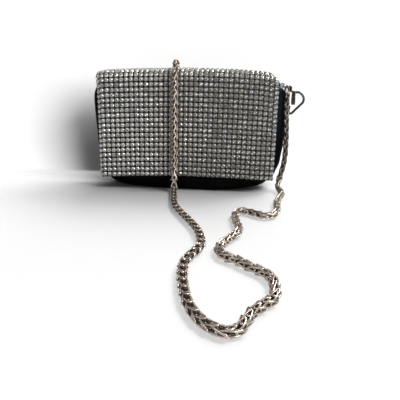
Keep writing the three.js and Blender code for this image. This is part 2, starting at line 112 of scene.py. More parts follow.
def catmull(points, per_segment):
    """Centripetal Catmull-Rom curve through the points."""
    p = np.asarray(points, float)
    p = np.vstack([2 * p[0] - p[1], p, 2 * p[-1] - p[-2]])
    out = []
    for i in range(1, len(p) - 2):
        p0, p1, p2, p3 = p[i - 1 : i + 3]
        d0, d1, d2 = (max(np.linalg.norm(b - a) ** 0.5, 1e-4) for a, b in ((p0, p1), (p1, p2), (p2, p3)))
        m1 = ((p1 - p0) / d0 - (p2 - p0) / (d0 + d1) + (p2 - p1) / d1) * d1
        m2 = ((p2 - p1) / d1 - (p3 - p1) / (d1 + d2) + (p3 - p2) / d2) * d1
        t = np.linspace(0, 1, per_segment, endpoint=False)[:, None]
        out.append(p1 + m1 * t + (-3 * p1 + 3 * p2 - 2 * m1 - m2) * t**2 + (2 * p1 - 2 * p2 + m1 + m2) * t**3)
    out.append(p[-2][None, :])
    return np.vstack(out)


def resample(points, count):
    p = np.asarray(points, float)
    s = np.r_[0, np.cumsum(np.linalg.norm(np.diff(p, axis=0), axis=1))]
    at = np.linspace(0, s[-1], count)
    return np.stack([np.interp(at, s, p[:, k]) for k in range(3)], 1)


def carried_frames(path, first, closed=False):
    """Tangent, normal and side along a path; the normal is carried along without twist from the direction first."""
    p = np.asarray(path, float)
    if closed:
        tangent = unit(np.roll(p, -1, 0) - np.roll(p, 1, 0))
    else:
        tangent = unit(np.gradient(p, axis=0))
    normal = np.zeros_like(p)
    n = unit(np.asarray(first, float) - tangent[0] * np.dot(first, tangent[0]))
    for i in range(len(p)):
        n = unit(n - tangent[i] * np.dot(n, tangent[i]))
        normal[i] = n
    return tangent, normal, np.cross(tangent, normal)


def wire(path, radius, sides, first=(0.13, 0.92, 0.37), closed=False, flat=1.0):
    """Round wire along a path: vertices and faces. Open ends are domed. flat squeezes the section along the normal."""
    p = np.asarray(path, float)
    radius = np.broadcast_to(np.asarray(radius, float), (len(p),)).copy()
    tangent, normal, side = carried_frames(p, first, closed)
    if not closed:
        dome = np.array([0.0, 0.5, 0.87])
        lead = np.array([1.0, 0.87, 0.5])
        head = p[0] - np.outer(lead, tangent[0]) * radius[0]
        tail = p[-1] + np.outer(lead[::-1], tangent[-1]) * radius[-1]
        p = np.vstack([head, p, tail])
        radius = np.r_[dome * radius[0], radius, dome[::-1] * radius[-1]]
        radius = np.maximum(radius, 1e-3)
        normal = np.vstack([np.repeat(normal[:1], 3, 0), normal, np.repeat(normal[-1:], 3, 0)])
        side = np.vstack([np.repeat(side[:1], 3, 0), side, np.repeat(side[-1:], 3, 0)])
    n = len(p)
    t = np.arange(sides) / sides * TAU
    ring = flat * normal[:, None, :] * np.cos(t)[None, :, None] + side[:, None, :] * np.sin(t)[None, :, None]
    verts = (p[:, None, :] + ring * radius[:, None, None]).reshape(-1, 3)
    faces = []
    for i in range(n if closed else n - 1):
        j = (i + 1) % n
        for k in range(sides):
            m = (k + 1) % sides
            faces.append((i * sides + k, i * sides + m, j * sides + m, j * sides + k))
    if not closed:
        faces.append(tuple(range(sides - 1, -1, -1)))
        faces.append(tuple((n - 1) * sides + k for k in range(sides)))
    return verts, faces


def join_parts(parts):
    verts, faces, base = [], [], 0
    for v, f in parts:
        verts.append(np.asarray(v, float))
        faces.extend(tuple(i + base for i in face) for face in f)
        base += len(v)
    return np.vstack(verts), faces


def moved(part, matrix=None, at=(0, 0, 0)):
    v, f = part
    v = np.asarray(v, float)
    if matrix is not None:
        v = v @ np.asarray(matrix, float).T
    return v + np.asarray(at, float), f


def turn(axis, angle):
    c, s = math.cos(angle), math.sin(angle)
    return np.array({
        "x": [[1, 0, 0], [0, c, -s], [0, s, c]],
        "y": [[c, 0, s], [0, 1, 0], [-s, 0, c]],
        "z": [[c, -s, 0], [s, c, 0], [0, 0, 1]],
    }[axis])


def lathe(profile, sides):
    """Profile rows (radius, height) turned about Z, closed at both ends on the axis."""
    rows = np.asarray(profile, float)
    t = np.arange(sides) / sides * TAU
    verts = np.stack([np.outer(rows[:, 0], np.cos(t)), np.outer(rows[:, 0], np.sin(t)),
                      np.repeat(rows[:, 1:2], sides, 1)], 2).reshape(-1, 3)
    faces = []
    for i in range(len(rows) - 1):
        for k in range(sides):
            m = (k + 1) % sides
            faces.append((i * sides + k, i * sides + m, (i + 1) * sides + m, (i + 1) * sides + k))
    faces.append(tuple(range(sides - 1, -1, -1)))
    faces.append(tuple((len(rows) - 1) * sides + k for k in range(sides)))
    return verts, faces


def plate(outline, thick, edge, steps=3):
    """Flat plate in XZ with rounded edges: outline rows (x, z) anticlockwise, thick along Y."""
    o = np.asarray(outline, float)
    n = len(o)
    along = unit(np.roll(o, -1, 0) - np.roll(o, 1, 0))
    inward = np.stack([-along[:, 1], along[:, 0]], 1)
    rings = []
    for i in range(steps + 1):
        a = i / steps * math.pi / 2
        rings.append((edge * (1 - math.sin(a)), -thick / 2 + edge * (1 - math.cos(a))))
    rings = rings + [(inset, -y) for inset, y in rings[::-1]]
    verts = []
    for inset, y in rings:
        q = o + inward * inset
        verts.append(np.stack([q[:, 0], np.full(n, y), q[:, 1]], 1))
    faces = []
    for i in range(len(rings) - 1):
        for k in range(n):
            m = (k + 1) % n
            faces.append((i * n + k, i * n + m, (i + 1) * n + m, (i + 1) * n + k))
    faces.append(tuple(range(n - 1, -1, -1)))
    faces.append(tuple((len(rings) - 1) * n + k for k in range(n)))
    return np.vstack(verts), faces


def make(name, part, material, body="bag", replaces=(), smooth_faces=True, sharp=None, tidy=True):
    """A mesh object of the bag, in metres, riding on its body."""
    verts, faces = part
    mesh = bpy.data.meshes.new(name)
    mesh.from_pydata((np.asarray(verts, float) * MM).tolist(), [], faces)
    if tidy:
        bm = bmesh.new()
        bm.from_mesh(mesh)
        bmesh.ops.recalc_face_normals(bm, faces=bm.faces)
        bm.to_mesh(mesh)
        bm.free()
    mesh.polygons.foreach_set("use_smooth", [bool(smooth_faces)] * len(mesh.polygons))
    if sharp is not None and smooth_faces:
        mesh.set_sharp_from_angle(angle=math.radians(sharp))
    mesh.update()
    obj = bpy.data.objects.new(name, mesh)
    bpy.context.scene.collection.objects.link(obj)
    mesh.materials.append(material)
    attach(obj, body)
    if replaces:
        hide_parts(*replaces)
    return obj


def point_value(obj, name, values):
    a = obj.data.attributes.new(name, "FLOAT", "POINT")
    a.data.foreach_set("value", np.asarray(values, np.float32))


def point_colour(obj, name, colours):
    a = obj.data.attributes.new(name, "FLOAT_COLOR", "POINT")
    rgba = np.ones((len(colours), 4), np.float32)
    rgba[:, :3] = colours
    a.data.foreach_set("color", rgba.ravel())


# ---------------------------------------------------------------- materials


class Nodes:
    """A node material with its principled shader at hand."""

    def __init__(self, name, **values):
        self.material = bpy.data.materials.new(name)
        self.material.use_nodes = True
        self.tree = self.material.node_tree
        self.bsdf = self.tree.nodes["Principled BSDF"]
        for socket, value in values.items():
            self.bsdf.inputs[socket.replace("_", " ")].default_value = value
        self.place = self.node("ShaderNodeTexCoord").outputs["Object"]

    def node(self, kind, **inputs):
        n = self.tree.nodes.new(kind)
        for key, value in inputs.items():
            n.inputs[key.replace("_", " ")].default_value = value
        return n

    def link(self, a, b):
        self.tree.links.new(a, b)

    def noise(self, scale, detail=3.0, rough=0.55, stretch=None):
        n = self.node("ShaderNodeTexNoise", Scale=scale, Detail=detail, Roughness=rough)
        if stretch is None:
            self.link(self.place, n.inputs["Vector"])
        else:
            m = self.node("ShaderNodeMapping")
            m.inputs["Scale"].default_value = stretch
            self.link(self.place, m.inputs["Vector"])
            self.link(m.outputs["Vector"], n.inputs["Vector"])
        return n.outputs["Fac"]

    def bands(self, direction, scale, distortion=0.0):
        n = self.node("ShaderNodeTexWave", Scale=scale, Distortion=distortion)
        n.wave_type, n.bands_direction = "BANDS", direction
        self.link(self.place, n.inputs["Vector"])
        return n.outputs["Fac"]

    def ramp(self, fac, *stops):
        n = self.node("ShaderNodeValToRGB")
        elements = n.color_ramp.elements
        while len(elements) < len(stops):
            elements.new(0.5)
        for e, (at, colour) in zip(elements, stops):
            e.position, e.color = at, (*colour, 1.0)
        self.link(fac, n.inputs["Fac"])
        return n.outputs["Color"]

    def spread(self, fac, low, high, from_low=0.3, from_high=0.7):
        n = self.node("ShaderNodeMapRange")
        for key, value in (("From Min", from_low), ("From Max", from_high), ("To Min", low), ("To Max", high)):
            n.inputs[key].default_value = value
        self.link(fac, n.inputs["Value"])
        return n.outputs["Result"]

    def math(self, operation, a, b):
        n = self.node("ShaderNodeMath")
        n.operation = operation
        for socket, value in zip(n.inputs, (a, b)):
            if isinstance(value, (int, float)):
                socket.default_value = value
            else:
                self.link(value, socket)
        return n.outputs["Value"]

    def mix(self, fac, a, b, blend="MIX"):
        n = self.node("ShaderNodeMix")
        n.data_type, n.blend_type = "RGBA", blend
        for socket, value in ((n.inputs[0], fac), (n.inputs[6], a), (n.inputs[7], b)):
            if isinstance(value, (int, float)):
                socket.default_value = value
            elif isinstance(value, tuple):
                socket.default_value = (*value, 1.0)
            else:
                self.link(value, socket)
        return n.outputs[2]

    def value(self, name, colour=False):
        n = self.node("ShaderNodeAttribute")
        n.attribute_name = name
        return n.outputs["Color" if colour else "Fac"]

    def into(self, output, socket):
        self.link(output, self.bsdf.inputs[socket])

    def bump(self, height, strength, distance):
        n = self.node("ShaderNodeBump", Strength=strength, Distance=distance)
        self.link(height, n.inputs["Height"])
        self.link(n.outputs["Normal"], self.bsdf.inputs["Normal"])


def satin_material():
    m = Nodes("satin", Sheen_Weight=0.008, Sheen_Roughness=0.4, Sheen_Tint=(0.3, 0.34, 0.5, 1.0), Specular_IOR_Level=0.02)
    tone = m.noise(38.0, 4.0, 0.6)
    # painted light: the satin is navy-black; its navy is painted on where light falls, high up and towards the right,
    # and it is painted near black lower down as painted shade
    painted_shade_black = m.ramp(tone, (0.3, (0.0010, 0.0008, 0.0007)), (0.7, (0.0024, 0.0020, 0.0019)))
    painted_lit_navy = m.ramp(tone, (0.3, (0.0045, 0.0062, 0.0085)), (0.7, (0.0080, 0.0110, 0.0150)))
    m.into(m.mix(m.value("painted_lit_navy"), painted_shade_black, painted_lit_navy), "Base Color")
    m.into(m.spread(m.noise(90.0, 3.0), 0.4, 0.58), "Roughness")
    threads = m.math("ADD", m.math("MULTIPLY", m.bands("X", 700.0), 0.5), m.math("MULTIPLY", m.bands("Z", 950.0, 0.6), 0.7))
    slubs = m.math("MULTIPLY", m.noise(900.0, 2.0, 0.5, (0.12, 0.12, 1.0)), 1.2)
    m.bump(m.math("ADD", threads, slubs), 0.22, 0.00012)
    return m.material


def thread_material():
    m = Nodes("thread", Sheen_Weight=0.02, Roughness=0.55, Specular_IOR_Level=0.1)
    m.into(m.ramp(m.noise(300.0, 2.0), (0.3, (0.004, 0.004, 0.006)), (0.7, (0.010, 0.010, 0.014))), "Base Color")
    m.bump(m.bands("DIAGONAL", 900.0), 0.5, 0.0001)
    return m.material


def painted_sheen_ribbon_material():
    # painted sheen: the tab strap's satin is painted pale grey-blue for the light its loop catches
    m = Nodes("ribbon", Sheen_Weight=0.25, Sheen_Roughness=0.35, Specular_IOR_Level=0.4)
    m.into(m.ramp(m.noise(160.0, 3.0), (0.3, (0.40, 0.43, 0.48)), (0.7, (0.58, 0.61, 0.66))), "Base Color")
    m.into(m.spread(m.noise(240.0, 2.0), 0.38, 0.55), "Roughness")
    m.bump(m.bands("Y", 560.0, 0.3), 0.4, 0.00012)
    return m.material


def ground_material():
    m = Nodes("mesh_ground", Sheen_Weight=0.08, Specular_IOR_Level=0.3)
    m.into(m.ramp(m.noise(250.0, 3.0), (0.3, (0.004, 0.004, 0.005)), (0.7, (0.014, 0.014, 0.017))), "Base Color")
    m.into(m.spread(m.noise(120.0), 0.6, 0.85), "Roughness")
    m.bump(m.math("ADD", m.bands("X", 520.0), m.bands("Z", 520.0)), 0.4, 0.00015)
    return m.material


def stone_material():
    m = Nodes("stone", Metallic=1.0, Coat_Weight=0.35, Coat_Roughness=0.05, Coat_IOR=1.6)
    # the stones' base colour carries their painted light: painted inner reflections, painted shade, painted highlights
    # and glints
    m.into(m.value("stone_tone_and_painted_light", True), "Base Color")
    m.into(m.spread(m.noise(160.0, 3.0), 0.12, 0.24), "Roughness")
    return m.material


def cup_material(name, low, high):
    m = Nodes(name, Metallic=1.0)
    m.into(m.ramp(m.noise(220.0, 3.0), (0.3, low), (0.7, high)), "Base Color")
    m.into(m.spread(m.noise(420.0, 2.0), 0.24, 0.4), "Roughness")
    return m.material


def chain_material():
    m = Nodes("chain_metal", Metallic=1.0)
    # painted shade: the links are darkened in the chain's hollows, towards the strand's core
    depth = m.value("crevice_shade")
    worn = m.noise(130.0, 4.0)
    bright = m.ramp(worn, (0.3, (0.43, 0.36, 0.30)), (0.7, (0.62, 0.54, 0.475)))
    # the tone multiplies in painted shade on the hanging strands and painted light and shade across the front strand
    bright = m.mix(1.0, bright, m.value("tone"), "MULTIPLY")
    dark = m.ramp(worn, (0.3, (0.018, 0.012, 0.009)), (0.7, (0.045, 0.033, 0.026)))
    m.into(m.mix(depth, bright, dark), "Base Color")
    m.into(m.math("ADD", m.spread(m.noise(360.0, 3.0), 0.15, 0.27), m.math("MULTIPLY", depth, 0.22)), "Roughness")
    m.bump(m.noise(1500.0, 2.0, 0.6, (1.0, 0.25, 0.25)), 0.12, 0.00006)
    return m.material


def nickel_material():
    m = Nodes("nickel", Metallic=1.0)
    m.into(m.ramp(m.noise(180.0, 3.0), (0.3, (0.50, 0.485, 0.475)), (0.7, (0.66, 0.645, 0.635))), "Base Color")
    m.into(m.spread(m.noise(500.0, 3.0), 0.14, 0.3), "Roughness")
    m.bump(m.noise(1800.0, 2.0), 0.08, 0.00005)
    return m.material


def gunmetal_material(name, low, high):
    m = Nodes(name, Metallic=1.0)
    m.into(m.ramp(m.noise(260.0, 4.0), (0.3, low), (0.7, high)), "Base Color")
    m.into(m.spread(m.noise(520.0, 3.0), 0.2, 0.38), "Roughness")
    m.bump(m.noise(1600.0, 3.0), 0.12, 0.00006)
    return m.material


SATIN, THREAD, PAINTED_SHEEN_RIBBON, GROUND, STONE = satin_material(), thread_material(), painted_sheen_ribbon_material(), ground_material(), stone_material()
CUP = cup_material("cup_metal", (0.235, 0.226, 0.21), (0.36, 0.346, 0.323))
BAR = cup_material("bar_metal", (0.05, 0.048, 0.046), (0.10, 0.096, 0.09))
CHAIN_METAL, NICKEL = chain_material(), nickel_material()
GUNMETAL = gunmetal_material("gunmetal", (0.045, 0.042, 0.043), (0.10, 0.094, 0.096))
BLACK_METAL = gunmetal_material("black_metal", (0.010, 0.010, 0.011), (0.024, 0.023, 0.025))
LEVER_METAL = gunmetal_material("lever_metal", (0.035, 0.029, 0.028), (0.075, 0.064, 0.062))

# ---------------------------------------------------------------- flap surface

FLAP_HALF, EDGE_LEFT, EDGE_RIGHT, EDGE_R = 94.0, 88.0, 91.6, 4.0  # half of the flat width; where the side edges bend back, and how tightly
FLAP_LEAN = math.radians(3.64)
FLAP_R = 8.0
FLAP_TOP_Z, FLAP_HEM_Z, FLAP_FRONT_Y, FLAP_BACK_Y, FLAP_BACK_HEM_Z = 124.0, 14.0, -28.0, 22.0, 98.0
FLAP_HANG = [
    {"u": -92.5, "lift": -2.9, "drop": 1.0},
    {"u": -84.0, "lift": -2.3, "drop": 0.0},
    {"u": -46.0, "lift": -0.5, "drop": 0.0},
    {"u": 0.0, "lift": 0.9, "drop": 0.0},
    {"u": 46.0, "lift": 0.3, "drop": 0.0},
    {"u": 74.0, "lift": -0.7, "drop": 0.2},
    {"u": 80.0, "lift": -0.8, "drop": 0.9},
    {"u": 86.0, "lift": -0.8, "drop": 2.0},
    {"u": 89.5, "lift": -0.8, "drop": 3.7},
    {"u": 92.5, "lift": -0.8, "drop": 6.6},
]
FRONT_TOP = FLAP_TOP_Z - FLAP_R * (1 - math.sin(FLAP_LEAN))
FRONT_LENGTH = (FRONT_TOP - FLAP_HEM_Z) / math.cos(FLAP_LEAN)
FRONT_ARC = FLAP_R * (math.pi / 2 - FLAP_LEAN)
FRONT_CENTRE_Y = FLAP_FRONT_Y + (FRONT_TOP - FLAP_HEM_Z) * math.tan(FLAP_LEAN) + FLAP_R * math.cos(FLAP_LEAN)
BACK_CENTRE_Y = FLAP_BACK_Y - FLAP_R
CENTRE_Z = FLAP_TOP_Z - FLAP_R
TOP_LENGTH = BACK_CENTRE_Y - FRONT_CENTRE_Y
BACK_ARC = FLAP_R * math.pi / 2
BACK_LENGTH = CENTRE_Z - FLAP_BACK_HEM_Z
BREAKS = np.cumsum([0, FRONT_LENGTH, FRONT_ARC, TOP_LENGTH, BACK_ARC, BACK_LENGTH])
FLAP_LENGTH = float(BREAKS[-1])


def front_y(z):
    return FLAP_FRONT_Y + (np.asarray(z, float) - FLAP_HEM_Z) * math.tan(FLAP_LEAN)


def flap_profile(v):
    """Side view of the flap's outer face at the length v from the front hem: y, z and the outward normal."""
    v = np.asarray(v, float)
    heading = np.where(v < BREAKS[1], FLAP_LEAN,
              np.where(v < BREAKS[2], FLAP_LEAN + (v - BREAKS[1]) / FLAP_R,
              np.where(v < BREAKS[3], math.pi / 2,
              np.where(v < BREAKS[4], math.pi / 2 + (v - BREAKS[3]) / FLAP_R, math.pi))))
    ny, nz = -np.cos(heading), np.sin(heading)
    y = np.where(v < BREAKS[1], FLAP_FRONT_Y + v * math.sin(FLAP_LEAN),
        np.where(v < BREAKS[2], FRONT_CENTRE_Y + FLAP_R * ny,
        np.where(v < BREAKS[3], FRONT_CENTRE_Y + (v - BREAKS[2]),
        np.where(v < BREAKS[4], BACK_CENTRE_Y + FLAP_R * ny, FLAP_BACK_Y))))
    z = np.where(v < BREAKS[1], FLAP_HEM_Z + v * math.cos(FLAP_LEAN),
        np.where(v < BREAKS[2], CENTRE_Z + FLAP_R * nz,
        np.where(v < BREAKS[3], FLAP_TOP_Z,
        np.where(v < BREAKS[4], CENTRE_Z + FLAP_R * nz, CENTRE_Z - (v - BREAKS[4])))))
    return y, z, ny, nz


def flap_relief(u, v):
    """How far the soft mesh stands off its plain form: bent back at both side edges, with slow shallow waves."""
    bend = np.maximum(np.abs(u) - np.where(u < 0, EDGE_LEFT, EDGE_RIGHT), 0.0) / EDGE_R
    roll = EDGE_R * (1 - np.cos(bend)) * (1 - 0.55 * smooth((v - 92.0) / 16.0))
    waves = 0.28 * np.sin(u / 23.0 + 0.7 + 0.012 * v) * np.sin(v / 31.0 + 0.4) + 0.14 * np.sin(u / 9.5 - v / 13.0)
    return -roll + waves * smooth((130.0 - v) / 30.0) - 0.3


def flap(u, v, off):
    u, v = np.broadcast_arrays(np.asarray(u, float), np.asarray(v, float))
    y, z, ny, nz = flap_profile(v)
    drop = table(FLAP_HANG, "u", "drop", u)
    hang = table(FLAP_HANG, "u", "lift", u) - drop * smooth((z - 36.0) / 88.0)
    edge = np.where(u < 0, EDGE_LEFT, EDGE_RIGHT)
    bend = np.maximum(np.abs(u) - edge, 0.0) / EDGE_R
    x = np.sign(u) * (np.minimum(np.abs(u), edge) + (EDGE_R + off) * np.sin(bend))
    up = np.clip(v / 105.0, 0.0, 1.0)
    x = x * np.where(u < 0, 1 - 0.0103 + 0.0228 * up, 1 - 0.004 + 0.0115 * up)
    depth = off * np.cos(bend) + flap_relief(u, v)
    return np.stack([x, y + depth * ny, z + depth * nz + hang], -1)


def flap_axes(u, v):
    e = 0.4
    along_u = flap(u + e, v, 0.0) - flap(u - e, v, 0.0)
    along_v = flap(u, v + e, 0.0) - flap(u, v - e, 0.0)
    normal = unit(np.cross(along_u, along_v))
    across = unit(along_u * np.array([1.0, 1.0, 0.15]) - normal * np.sum(along_u * np.array([1.0, 1.0, 0.15]) * normal, -1, keepdims=True))
    return across, np.cross(normal, across), normal


# ---------------------------------------------------------------- rhinestone mesh

COLUMNS, PITCH_U, PITCH_V = 37, 5.08, 5.155
ROWS = int((FLAP_LENGTH - 2.4) / PITCH_V - 0.6) + 1


def lattice():
    j, k = np.meshgrid(np.arange(COLUMNS), np.arange(ROWS), indexing="ij")
    return (PITCH_U * (j - 18)).ravel().astype(float), ((k + 0.43) * PITCH_V).ravel()


def spread_copies(template, faces, origin, axes):
    """Copies of a template, one for each origin with its three axes."""
    t = np.asarray(template, float)
    if t.ndim == 2:
        t = np.broadcast_to(t, (len(origin), *t.shape))
    a, b, n = axes
    verts = origin[:, None, :] + t[:, :, 0:1] * a[:, None, :] + t[:, :, 1:2] * b[:, None, :] + t[:, :, 2:3] * n[:, None, :]
    count = t.shape[1]
    all_faces = [tuple(i + c * count for i in f) for c in range(len(origin)) for f in faces]
    return verts.reshape(-1, 3), all_faces


def stone_template():
    """Round stone: table cut into eight shallow hollow facets, star, kite and girdle facets round it."""
    verts, faces = [], []
    def ring(r, h, n, shift):
        start = len(verts)
        for i in range(n):
            t = (i + shift) / n * TAU
            verts.append((r * math.cos(t), r * math.sin(t), h))
        return start
    t = ring(1.0, -0.10, 8, 0.0)
    m = ring(1.52, -0.36, 8, 0.5)
    g = ring(2.04, -0.90, 16, 0.0)
    verts.append((0.0, 0.0, -0.40))
    c = len(verts) - 1
    for k in range(8):
        n = (k + 1) % 8
        faces.append((t + k, t + n, c))
        faces.append((t + k, m + k, t + n))
        faces.append((t + k, m + (k - 1) % 8, g + 2 * k, m + k))
        faces.append((m + k, g + 2 * k, g + 2 * k + 1))
        faces.append((m + k, g + 2 * k + 1, g + (2 * k + 2) % 16))
    return np.array(verts), faces


def cup_template():
    """Cup round a stone: a slightly square rim with four small claws bent over the girdle."""
    n = 20
    t = np.arange(n) / n * TAU + TAU / 40
    square = (np.abs(np.cos(t)) ** 3.4 + np.abs(np.sin(t)) ** 3.4) ** (-1 / 3.4)
    claw = np.maximum(0, np.cos(4 * (t - math.pi / 4))) ** 3
    rows = [
        (2.10 * square, -1.60 + 0 * t),
        (2.21 * square, -1.06 + 0 * t),
        (2.18 * square - 0.10 * claw, -0.82 + 0.16 * claw),
        (2.07 + 0.35 * (square - 1) - 0.20 * claw, -0.76 + 0.26 * claw),
        (1.96 - 0.22 * claw, -0.90 + 0.30 * claw),
    ]
    verts = np.vstack([np.stack([1.03 * r * np.cos(t), 0.95 * r * np.sin(t), h], 1) for r, h in rows])
    faces = []
    for i in range(len(rows) - 1):
        for k in range(n):
            m = (k + 1) % n
            faces.append((i * n + k, i * n + m, (i + 1) * n + m, (i + 1) * n + k))
    return verts, faces


def make_flap():
    u, v = lattice()
    a, b, n = flap_axes(u, v)
    count = len(u)
    # each stone sits a little askew in its cup
    tilt = rng.normal(0.0, math.radians(2.6), (count, 2))
    spin = rng.uniform(0.0, TAU, count)
    n2 = unit(n + a * tilt[:, :1] + b * tilt[:, 1:])
    a2 = unit(a - n2 * np.sum(a * n2, 1, keepdims=True))
    b2 = np.cross(n2, a2)
    a3 = a2 * np.cos(spin)[:, None] + b2 * np.sin(spin)[:, None]
    b3 = np.cross(n2, a3)
    origin = flap(u, v, 0.0)
    template, faces = stone_template()
    stones = make("flap_stones", spread_copies(template, faces, origin, (a3, b3, n2)), STONE,
                  smooth_faces=False, tidy=False, replaces=["flap_panel"])
    # clear stones, their tone differing at random, with painted light: the right half is painted darker and browner as
    # shade, the left half, most of all low on the front, and the top rows are painted lighter
    shaded_right_half = smooth((u + 45.0) / 95.0)[:, None]
    tone = np.clip(rng.normal(0.45, 0.06, count), 0.3, 0.64) * (1 - 0.38 * shaded_right_half[:, 0])
    tone = tone * (1 + (0.09 + 0.40 * smooth((105.0 - v) / 80.0)) * (1 - shaded_right_half[:, 0])) * (1 + 0.08 * smooth((70.0 - v) / 50.0) * shaded_right_half[:, 0]) * (1 + 0.4 * smooth((v - 96.0) / 14.0))
    tint = np.array([1.0, 0.985, 0.93]) * (1 - shaded_right_half) + np.array([0.93, 0.885, 0.81]) * shaded_right_half
    # painted highlight: the right edge column is painted lighter and bluish-white
    border = (u > 90.0)[:, None]
    tone = tone * (1 + 0.18 * border[:, 0])
    tint = np.where(border, np.array([0.97, 0.96, 0.97]), tint)
    # painted reflections inside each stone: table and girdle darker, the ring of star facets brighter, the centre
    # darkest
    shade = np.array([0.80] * 8 + [1.15] * 8 + [0.85] * 16 + [0.45])
    stone_tone_and_painted_light = tone[:, None, None] * tint[:, None, :] * shade[None, :, None]
    # painted glints: about one stone in twenty gets coloured flashes painted on three facets
    flashes = np.array([(0.45, 0.62, 1.0), (0.62, 0.5, 1.0), (1.0, 0.86, 0.42), (0.5, 0.95, 1.0), (1.0, 0.7, 0.6)])
    flashing = rng.random(count) < 0.05
    pick = rng.integers(0, len(flashes), count)
    for i in np.where(flashing)[0]:
        first = rng.integers(0, 8)
        for k in range(3):
            stone_tone_and_painted_light[i, (first + k) % 8] = 0.4 * stone_tone_and_painted_light[i, (first + k) % 8] + 0.5 * flashes[pick[i]]
    point_colour(stones, "stone_tone_and_painted_light", stone_tone_and_painted_light.reshape(-1, 3))
    cup, cup_faces = cup_template()
    cups = make("flap_cups", spread_copies(cup, cup_faces, origin, (a, b, n)), CUP, tidy=False)
    # short bars hold neighbouring cups together
    grid = np.arange(count).reshape(COLUMNS, ROWS)
    pairs = np.vstack([np.stack([grid[:-1].ravel(), grid[1:].ravel()], 1), np.stack([grid[:, :-1].ravel(), grid[:, 1:].ravel()], 1)])
    p, q = pairs[:, 0], pairs[:, 1]
    middle = flap((u[p] + u[q]) / 2, (v[p] + v[q]) / 2, 0.0)
    am, bm, nm = flap_axes((u[p] + u[q]) / 2, (v[p] + v[q]) / 2)
    lengthwise = (np.abs(v[p] - v[q]) > 1)[:, None]
    am, bm = np.where(lengthwise, bm, am), np.where(lengthwise, -am, bm)
    x, y, low, high = 0.75, 0.42, -1.58, -1.22
    bar = [(sx * x, sy * y * (0.8 if h == high else 1.0), h) for h in (low, high) for sx, sy in ((-1, -1), (1, -1), (1, 1), (-1, 1))]
    bar_faces = [(4, 5, 6, 7), (0, 1, 5, 4), (1, 2, 6, 5), (2, 3, 7, 6), (3, 0, 4, 7)]
    bars = make("flap_bars", spread_copies(np.array(bar), bar_faces, middle, (am, bm, nm)), BAR,
                smooth_faces=False, tidy=False)
    # dark ground cloth that carries the cups, hemmed all round
    nu, nv = 112, 104
    us, vs = np.linspace(-FLAP_HALF, FLAP_HALF, nu), np.linspace(0.0, FLAP_LENGTH, nv)
    uu, vv = np.meshgrid(us, vs, indexing="ij")
    outer, inner = flap(uu, vv, -1.5).reshape(-1, 3), flap(uu, vv, -2.35).reshape(-1, 3)
    faces = []
    at = lambda i, k: i * nv + k
    half = nu * nv
    for i in range(nu - 1):
        for k in range(nv - 1):
            q = (at(i, k), at(i + 1, k), at(i + 1, k + 1), at(i, k + 1))
            faces.append(q)
            faces.append(tuple(half + w for w in q[::-1]))
    edge = [at(i, 0) for i in range(nu)] + [at(nu - 1, k) for k in range(1, nv)]
    edge += [at(i, nv - 1) for i in range(nu - 2, -1, -1)] + [at(0, k) for k in range(nv - 2, 0, -1)]
    for e, f in zip(edge, edge[1:] + edge[:1]):
        faces.append((e, half + e, half + f, f))
    ground = make("flap_ground", (np.vstack([outer, inner]), faces), GROUND)
    hem = []
    for low, high in (((-FLAP_HALF, 0.0), (FLAP_HALF, 0.0)), ((FLAP_HALF, 0.0), (FLAP_HALF, FLAP_LENGTH)),
                      ((FLAP_HALF, FLAP_LENGTH), (-FLAP_HALF, FLAP_LENGTH)), ((-FLAP_HALF, FLAP_LENGTH), (-FLAP_HALF, 0.0))):
        t = np.linspace(0, 1, 90)
        path = flap(low[0] + (high[0] - low[0]) * t, low[1] + (high[1] - low[1]) * t, -1.95)
        hem.append(wire(path, 0.5, 8))
    edging = make("flap_hem", join_parts(hem), GROUND)


make_flap()

# ---------------------------------------------------------------- satin pouch

POUCH_LEVELS = np.array([  # z, reach to the left, right, front and back, exponent of the rounded corners
    (0.0, 68.0, 68.0, 19.5, 19.5, 2.2), (0.8, 75.5, 74.5, 23.0, 21.2, 2.25), (2.2, 80.0, 80.0, 24.5, 22.4, 2.3),
    (4.5, 84.5, 85.5, 25.0, 23.2, 2.4), (8.4, 88.0, 90.5, 24.9, 23.8, 2.6), (12.5, 91.0, 94.4, 24.5, 24.1, 2.85),
    (18.0, 93.4, 97.6, 24.2, 24.2, 3.1), (27.0, 95.6, 101.0, 23.9, 23.9, 3.2), (43.0, 97.6, 103.8, 22.9, 22.9, 3.2),
    (60.0, 98.8, 104.9, 21.9, 21.9, 3.2), (75.0, 99.8, 105.0, 21.0, 21.0, 3.2), (92.0, 100.6, 104.2, 19.9, 19.9, 3.2),
    (103.0, 100.0, 103.0, 19.1, 19.1, 3.2), (108.0, 98.6, 102.2, 18.6, 18.6, 3.2), (112.0, 97.0, 100.4, 18.1, 18.1, 3.2),
    (113.2, 96.4, 97.6, 17.9, 17.9, 3.2), (117.6, 94.2, 96.7, 16.9, 16.9, 3.2), (119.4, 93.4, 95.7, 16.5, 16.5, 3.2),
])
POUCH_WALL = 1.7


